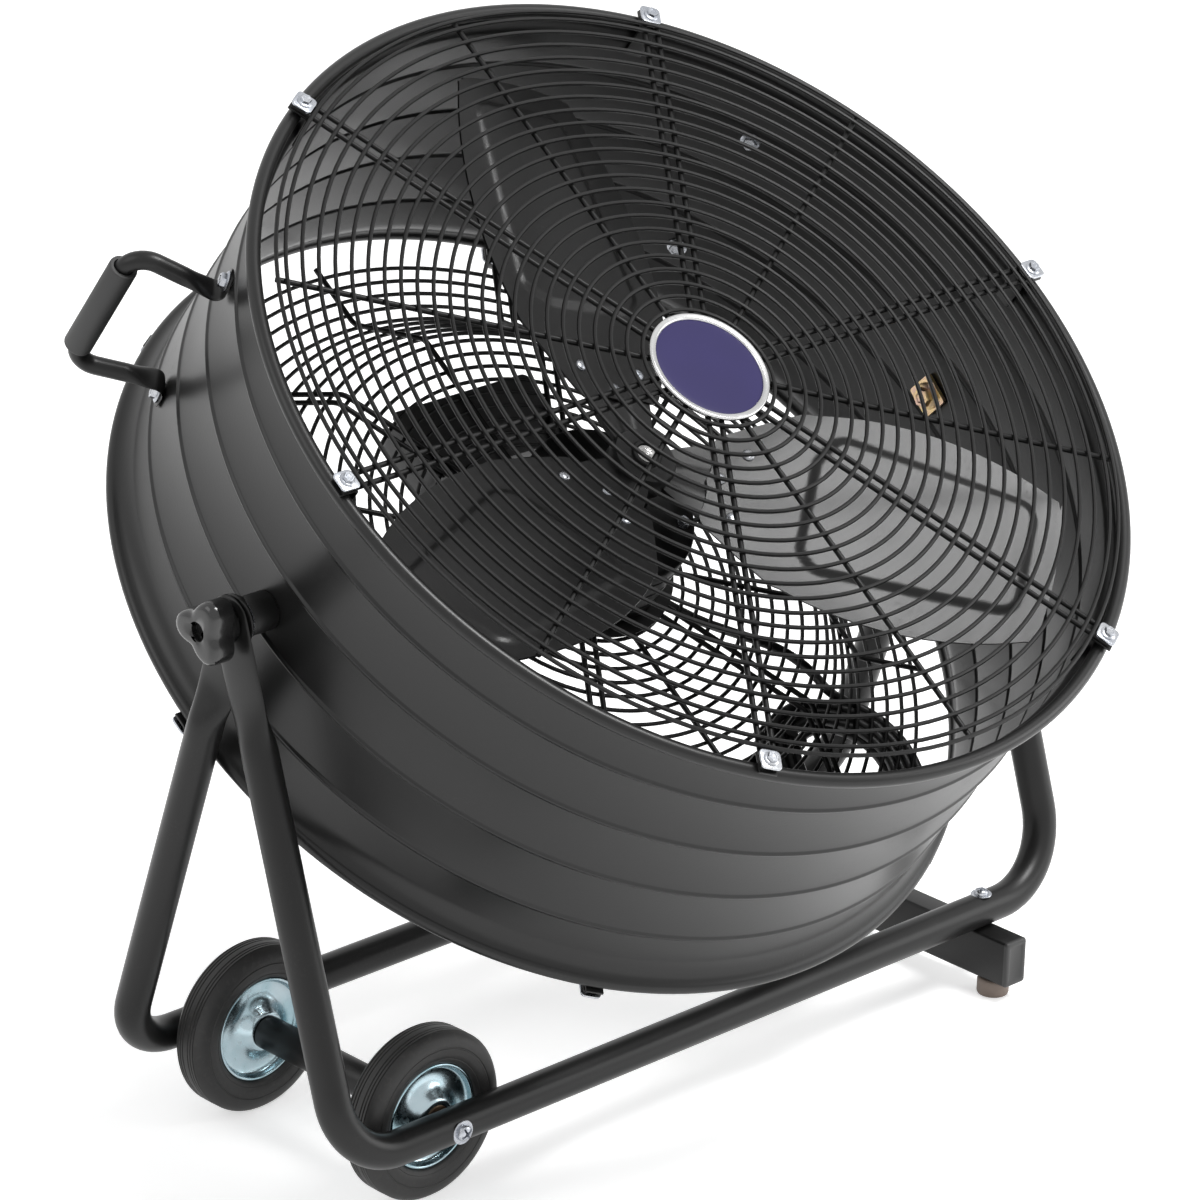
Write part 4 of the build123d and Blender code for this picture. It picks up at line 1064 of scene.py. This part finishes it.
half_bar = [(-foot_half - strap_length, strap_rho), (-foot_half, strap_rho), (-grip_half, handle_reach)]
bar_corners = half_bar + [(-along, rho) for along, rho in reversed(half_bar)]
sleeve = mm(0.0, (7.2, -42), (9, -42), (9.7, -41.7), (10, -40.8), (10, 40.8), (9.7, 41.7), (9, 42), (7.2, 42))
bars, grips, bolts = [], [], []
for phi in (handle_phi, 180 - handle_phi):
    corners = [on_drum(handle_at + along, rho, phi) for along, rho in bar_corners]
    route = bent(corners, (0.007, 0.016, 0.016, 0.007), 10)
    bars.append(swept(even(route, 0.003), around(phi), bar_size, circle(1.0, 24)))
    grips.append(turned(sleeve, on_drum(handle_at, handle_reach, phi), drum_dir, radial(phi), 64))
    for end in (-1, 1):
        at = handle_at + end * (foot_half + 0.0125)
        top = on_drum(at, strap_rho + strap_half_thick, phi)
        bolts += hex_flange_screw(top, radial(phi), handle_bolt, radial(phi).cross(drum_dir))
        bolts += hex_flange_screw(on_drum(at, inner_seat, phi), radial(phi) * -1, handle_bolt, drum_dir)
make("carrying_handles", bars, "stand_paint", "drum", "handle_bars", sharp=60)
make("handle_grips", grips, "grip_rubber", "drum", "grips", sharp=50)
make("handle_strap_bolts", bolts, "zinc", "drum", "handle_bolts")

# ---- stand ----
leg_reach = hypot(run_y, pivot.z - run_height)
flat_until = 0.052
round_from = 0.088
eye_offset = eye_thick + fit_gap / 2


def tube_size(along, length):
    """Half sizes of the tube: pressed flat into a round-ended eye at each end."""
    near = min(along, length - along)
    share = smooth((near - eye_width - flat_until) / (round_from - flat_until))
    cap = sqrt(max(0.0, 1 - (1 - near / eye_width) ** 2)) if near < eye_width else 1.0
    width = max(0.0012, eye_width * cap)
    return (width + (tube_radius - width) * share, eye_thick + (tube_radius - eye_thick) * share)


for side, name, shift in ((-1, "front", eye_offset), (1, "rear", -eye_offset)):
    down = Vector((0, side * run_y, run_height - pivot.z)).normalized()

    def leg_route(places, end=1):
        return [pivot + side_dir * (end * x) + down * reach for x, reach in places]

    eye = [(leg_x + shift, -eye_width * cos(radians(turn))) for turn in range(0, 91, 10)]
    eye.append((leg_x + shift, flat_until / 2))
    for share in (0.0, 0.2, 0.4, 0.6, 0.8):
        eye.append((leg_x + shift * (1 - smooth(share)), flat_until + (round_from - flat_until) * share))
    corners = leg_route([(-leg_x, round_from), (-leg_x, leg_reach), (leg_x, leg_reach), (leg_x, round_from)])
    route = leg_route(eye, -1) + bent(corners, (0.045, 0.058), 16) + leg_route(eye)[::-1]
    tube = swept(even(route, 0.008), side_dir.cross(down), tube_size, circle(1.0, 32))
    make(f"{name}_tube_bend", [tube], "stand_paint", "stand", f"{name}_tube_frame", sharp=60)

# cross bar on its rubber feet
foot_x = 0.269
foot_y = 0.132
bar_half_width = 0.0105
bar_half_height = 0.0175
bar_half_length = 0.150
bar_corner = 0.0022
pad_height = run_height - tube_radius - fit_gap - 2 * bar_half_height
bar_middle = Vector((foot_x, pivot.y, pad_height + bar_half_height))
bar_outline = rounded_box(bar_half_width, bar_half_height, bar_corner)
bar = block(bar_outline, bar_middle - back_dir * bar_half_length, side_dir, high_dir, -2 * bar_half_length)
make("foot_cross_bar", [bar], "stand_paint", "stand", "foot_bar", sharp=50)
pad_profile = mm(0.0, (0, 0), (9.8, 0), (11.2, 0.6), (11.8, 2))
pad_profile += mm(pad_height, (11.7, -2.2), (11.2, -0.8), (10.2, -0.2), (0, -0.2))
caps, pads, screws = [], [], []
for end in (-1, 1):
    cap = stacked(
        lambda inset: rounded_box(bar_half_width - inset, bar_half_height - inset, bar_corner),
        mm(bar_half_length, (0, 0), (0, 1.8), (0.4, 2.6), (1.3, 3), (3.6, 3), (4.4, 2.4)),
        bar_middle, side_dir, high_dir, back_dir * end,
    )
    caps.append(capped(cap))
    pads.append(turned(pad_profile, Vector((foot_x, pivot.y + end * foot_y, 0)), high_dir, side_dir, 64))
    seat = Vector((foot_x, pivot.y + end * run_y, run_height + tube_radius - 0.0006))
    screws += pan_screw(seat, high_dir, 0.0052, Vector((cos(end), sin(end), 0)))
make("bar_end_plugs", caps, "cap_plastic", "stand", "bar_end_caps", sharp=40)
make("rubber_feet", pads, "foot_rubber", "stand", "foot_pads", sharp=45)
make("cross_bar_screws", screws, "zinc", "stand", "foot_bar_bolts")

# axle, its sleeve and bushes
wheel_x = -0.253
wheel_y = 0.087
axle = Vector((wheel_x, pivot.y, run_height))
tube_face = run_y + tube_radius
rod_radius = 0.005
rod_profile = [(0, -tube_face), (rod_radius, -tube_face), (rod_radius, tube_face), (0, tube_face)]
sleeve_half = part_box("axle_sleeve")[1].y - pivot.y
sleeve = collar(0.0054, 0.012, -sleeve_half, sleeve_half, 0.0008, 0.0008)
bush = collar(0.0054, 0.0098, wheel_y + 0.0158, run_y - tube_radius - 2 * fit_gap, 0.0006, 0.0002)
axle_shapes, bushes = [], []
for end in (-1, 1):
    head_at = axle + back_dir * (end * (tube_face - 0.0006))
    axle_shapes += pan_screw(head_at, back_dir * end, 0.0058, Vector((cos(0.5), 0, sin(0.5))))
    bushes.append(turned(bush, axle, back_dir * end, side_dir, 48))
axle_shapes.append(turned(rod_profile, axle, back_dir, side_dir, 32))
sleeve_tube = turned(sleeve, axle, back_dir, side_dir, 64)
make("axle_bolt", axle_shapes, "zinc", "stand", "axle_rod")
make("axle_sleeve_tube", [sleeve_tube], "stand_paint", "stand", "axle_sleeve", sharp=50)
make("wheel_spacer_bushes", bushes, "bush_bronze", "stand", "wheel_bushes", sharp=50)

# wheels: ribbed rubber tyres on pressed rims, each profile given for one half and mirrored
wheel_radius = run_height
tread = [(wheel_radius, 0.0)]
for groove in (0.0026, 0.0052, 0.0078):
    top = wheel_radius - 0.00002 - groove * 0.02
    bottom = wheel_radius - 0.0007 - groove * 0.02
    tread += [(top, groove - 0.0006), (bottom, groove - 0.0002)]
    tread += [(bottom, groove + 0.0002), (top, groove + 0.0006)]
tread += mm(0.0, (60.3, 9.2), (58.8, 11.2), (56.4, 12.8), (53.5, 13.7), (52, 14), (50.6, 14), (50.2, 13.6))
tread += mm(0.0, (49.6, 13.6), (49.2, 14), (45.5, 13.8), (42.5, 13.2), (42, 12.8), (41.6, 13), (39.8, 12.2))
tread += mm(0.0, (38.6, 11.2), (38, 10))
rim = mm(0.0, (37.9, 0), (37.9, 9.6)) + arc((0.0367, 0.0098), 0.0012, 0, 180, 8)
rim += mm(0.0, (35.2, 8.5), (34.5, 6.5), (32.8, 5.4), (29, 5), (24.5, 5.6), (20.5, 7.5), (17.5, 10.5))
rim += mm(0.0, (15, 13.8), (13.5, 15.2), (12.2, 15.5), (9.8, 15.5), (9.4, 15))
hub_bush = collar(0.0051, 0.0093, -0.0154, 0.0154, 0.0005, 0.0004)
for side, name in ((-1, "front"), (1, "rear")):
    centre = axle + back_dir * (side * wheel_y)
    body = f"{name}_wheel"

    def on_wheel(half, count):
        mirrored = [(radius, -at) for radius, at in reversed(half[1:])]
        return turned(half + mirrored, centre, back_dir, high_dir, count)

    make(f"{name}_tyre_ribs", [on_wheel(tread, 144)], "tyre_rubber", body, f"{name}_wheel_tyre", sharp=35)
    make(f"{name}_rim_pressing", [on_wheel(rim, 128)], "rim_zinc", body, f"{name}_wheel_rim", sharp=50)
    bush_ring = turned(hub_bush, centre, back_dir, high_dir, 48)
    make(f"{name}_hub_bush", [bush_ring], "bush_bronze", body, sharp=50)

# ---- floor, light and camera ----
floor_size = 14.0
floor_mesh = bpy.data.meshes.new("floor")
floor_mesh.from_pydata([(x * floor_size, y * floor_size, 0) for x, y in square], [], [(0, 1, 2, 3)])
floor_mesh.materials.append(finishes["floor_white"])
added("floor", floor_mesh)

scene = bpy.context.scene
scene.view_settings.view_transform = "Standard"
ambient = 0.5  # what the white world lights the object with
world = bpy.data.worlds.new("studio")
scene.world = world
world.use_nodes = True
air = Tree(world.node_tree)
shown = air.any_ray("Camera", "Glossy", "Transmission")
strength = air.node("MapRange", {"Value": shown, "To Min": ambient, "To Max": 1.0})
backdrop = air.nodes["Background"]
backdrop.inputs["Color"].default_value = (1.0, 1.0, 1.0, 1.0)
air.links.new(strength.socket, backdrop.inputs["Strength"])


def soft_box(name, place, size, power):
    light = bpy.data.lights.new(name, "AREA")
    light.shape = "RECTANGLE"
    light.size = light.size_y = size
    light.energy = power
    lamp = added(name, light)
    lamp.location = place
    lamp.rotation_euler = (Vector((0, 0, 0.4)) - Vector(place)).to_track_quat("-Z", "Y").to_euler()


soft_box("key", (0.78, -1.38, 3.1), 1.1, 85)
soft_box("side", (2.9, -2.2, 1.3), 1.8, 32)
soft_box("far", (-2.8, 1.0, 2.6), 2.2, 22)

lens = bpy.data.cameras.new("camera")
lens.sensor_width = 36.0
lens.lens = 176.8
camera = added("camera", lens)
camera.location = (-2.6531, -2.6859, 1.8743)
camera.rotation_euler = (radians(67.865), radians(-1.461), radians(-43.868))
scene.camera = camera
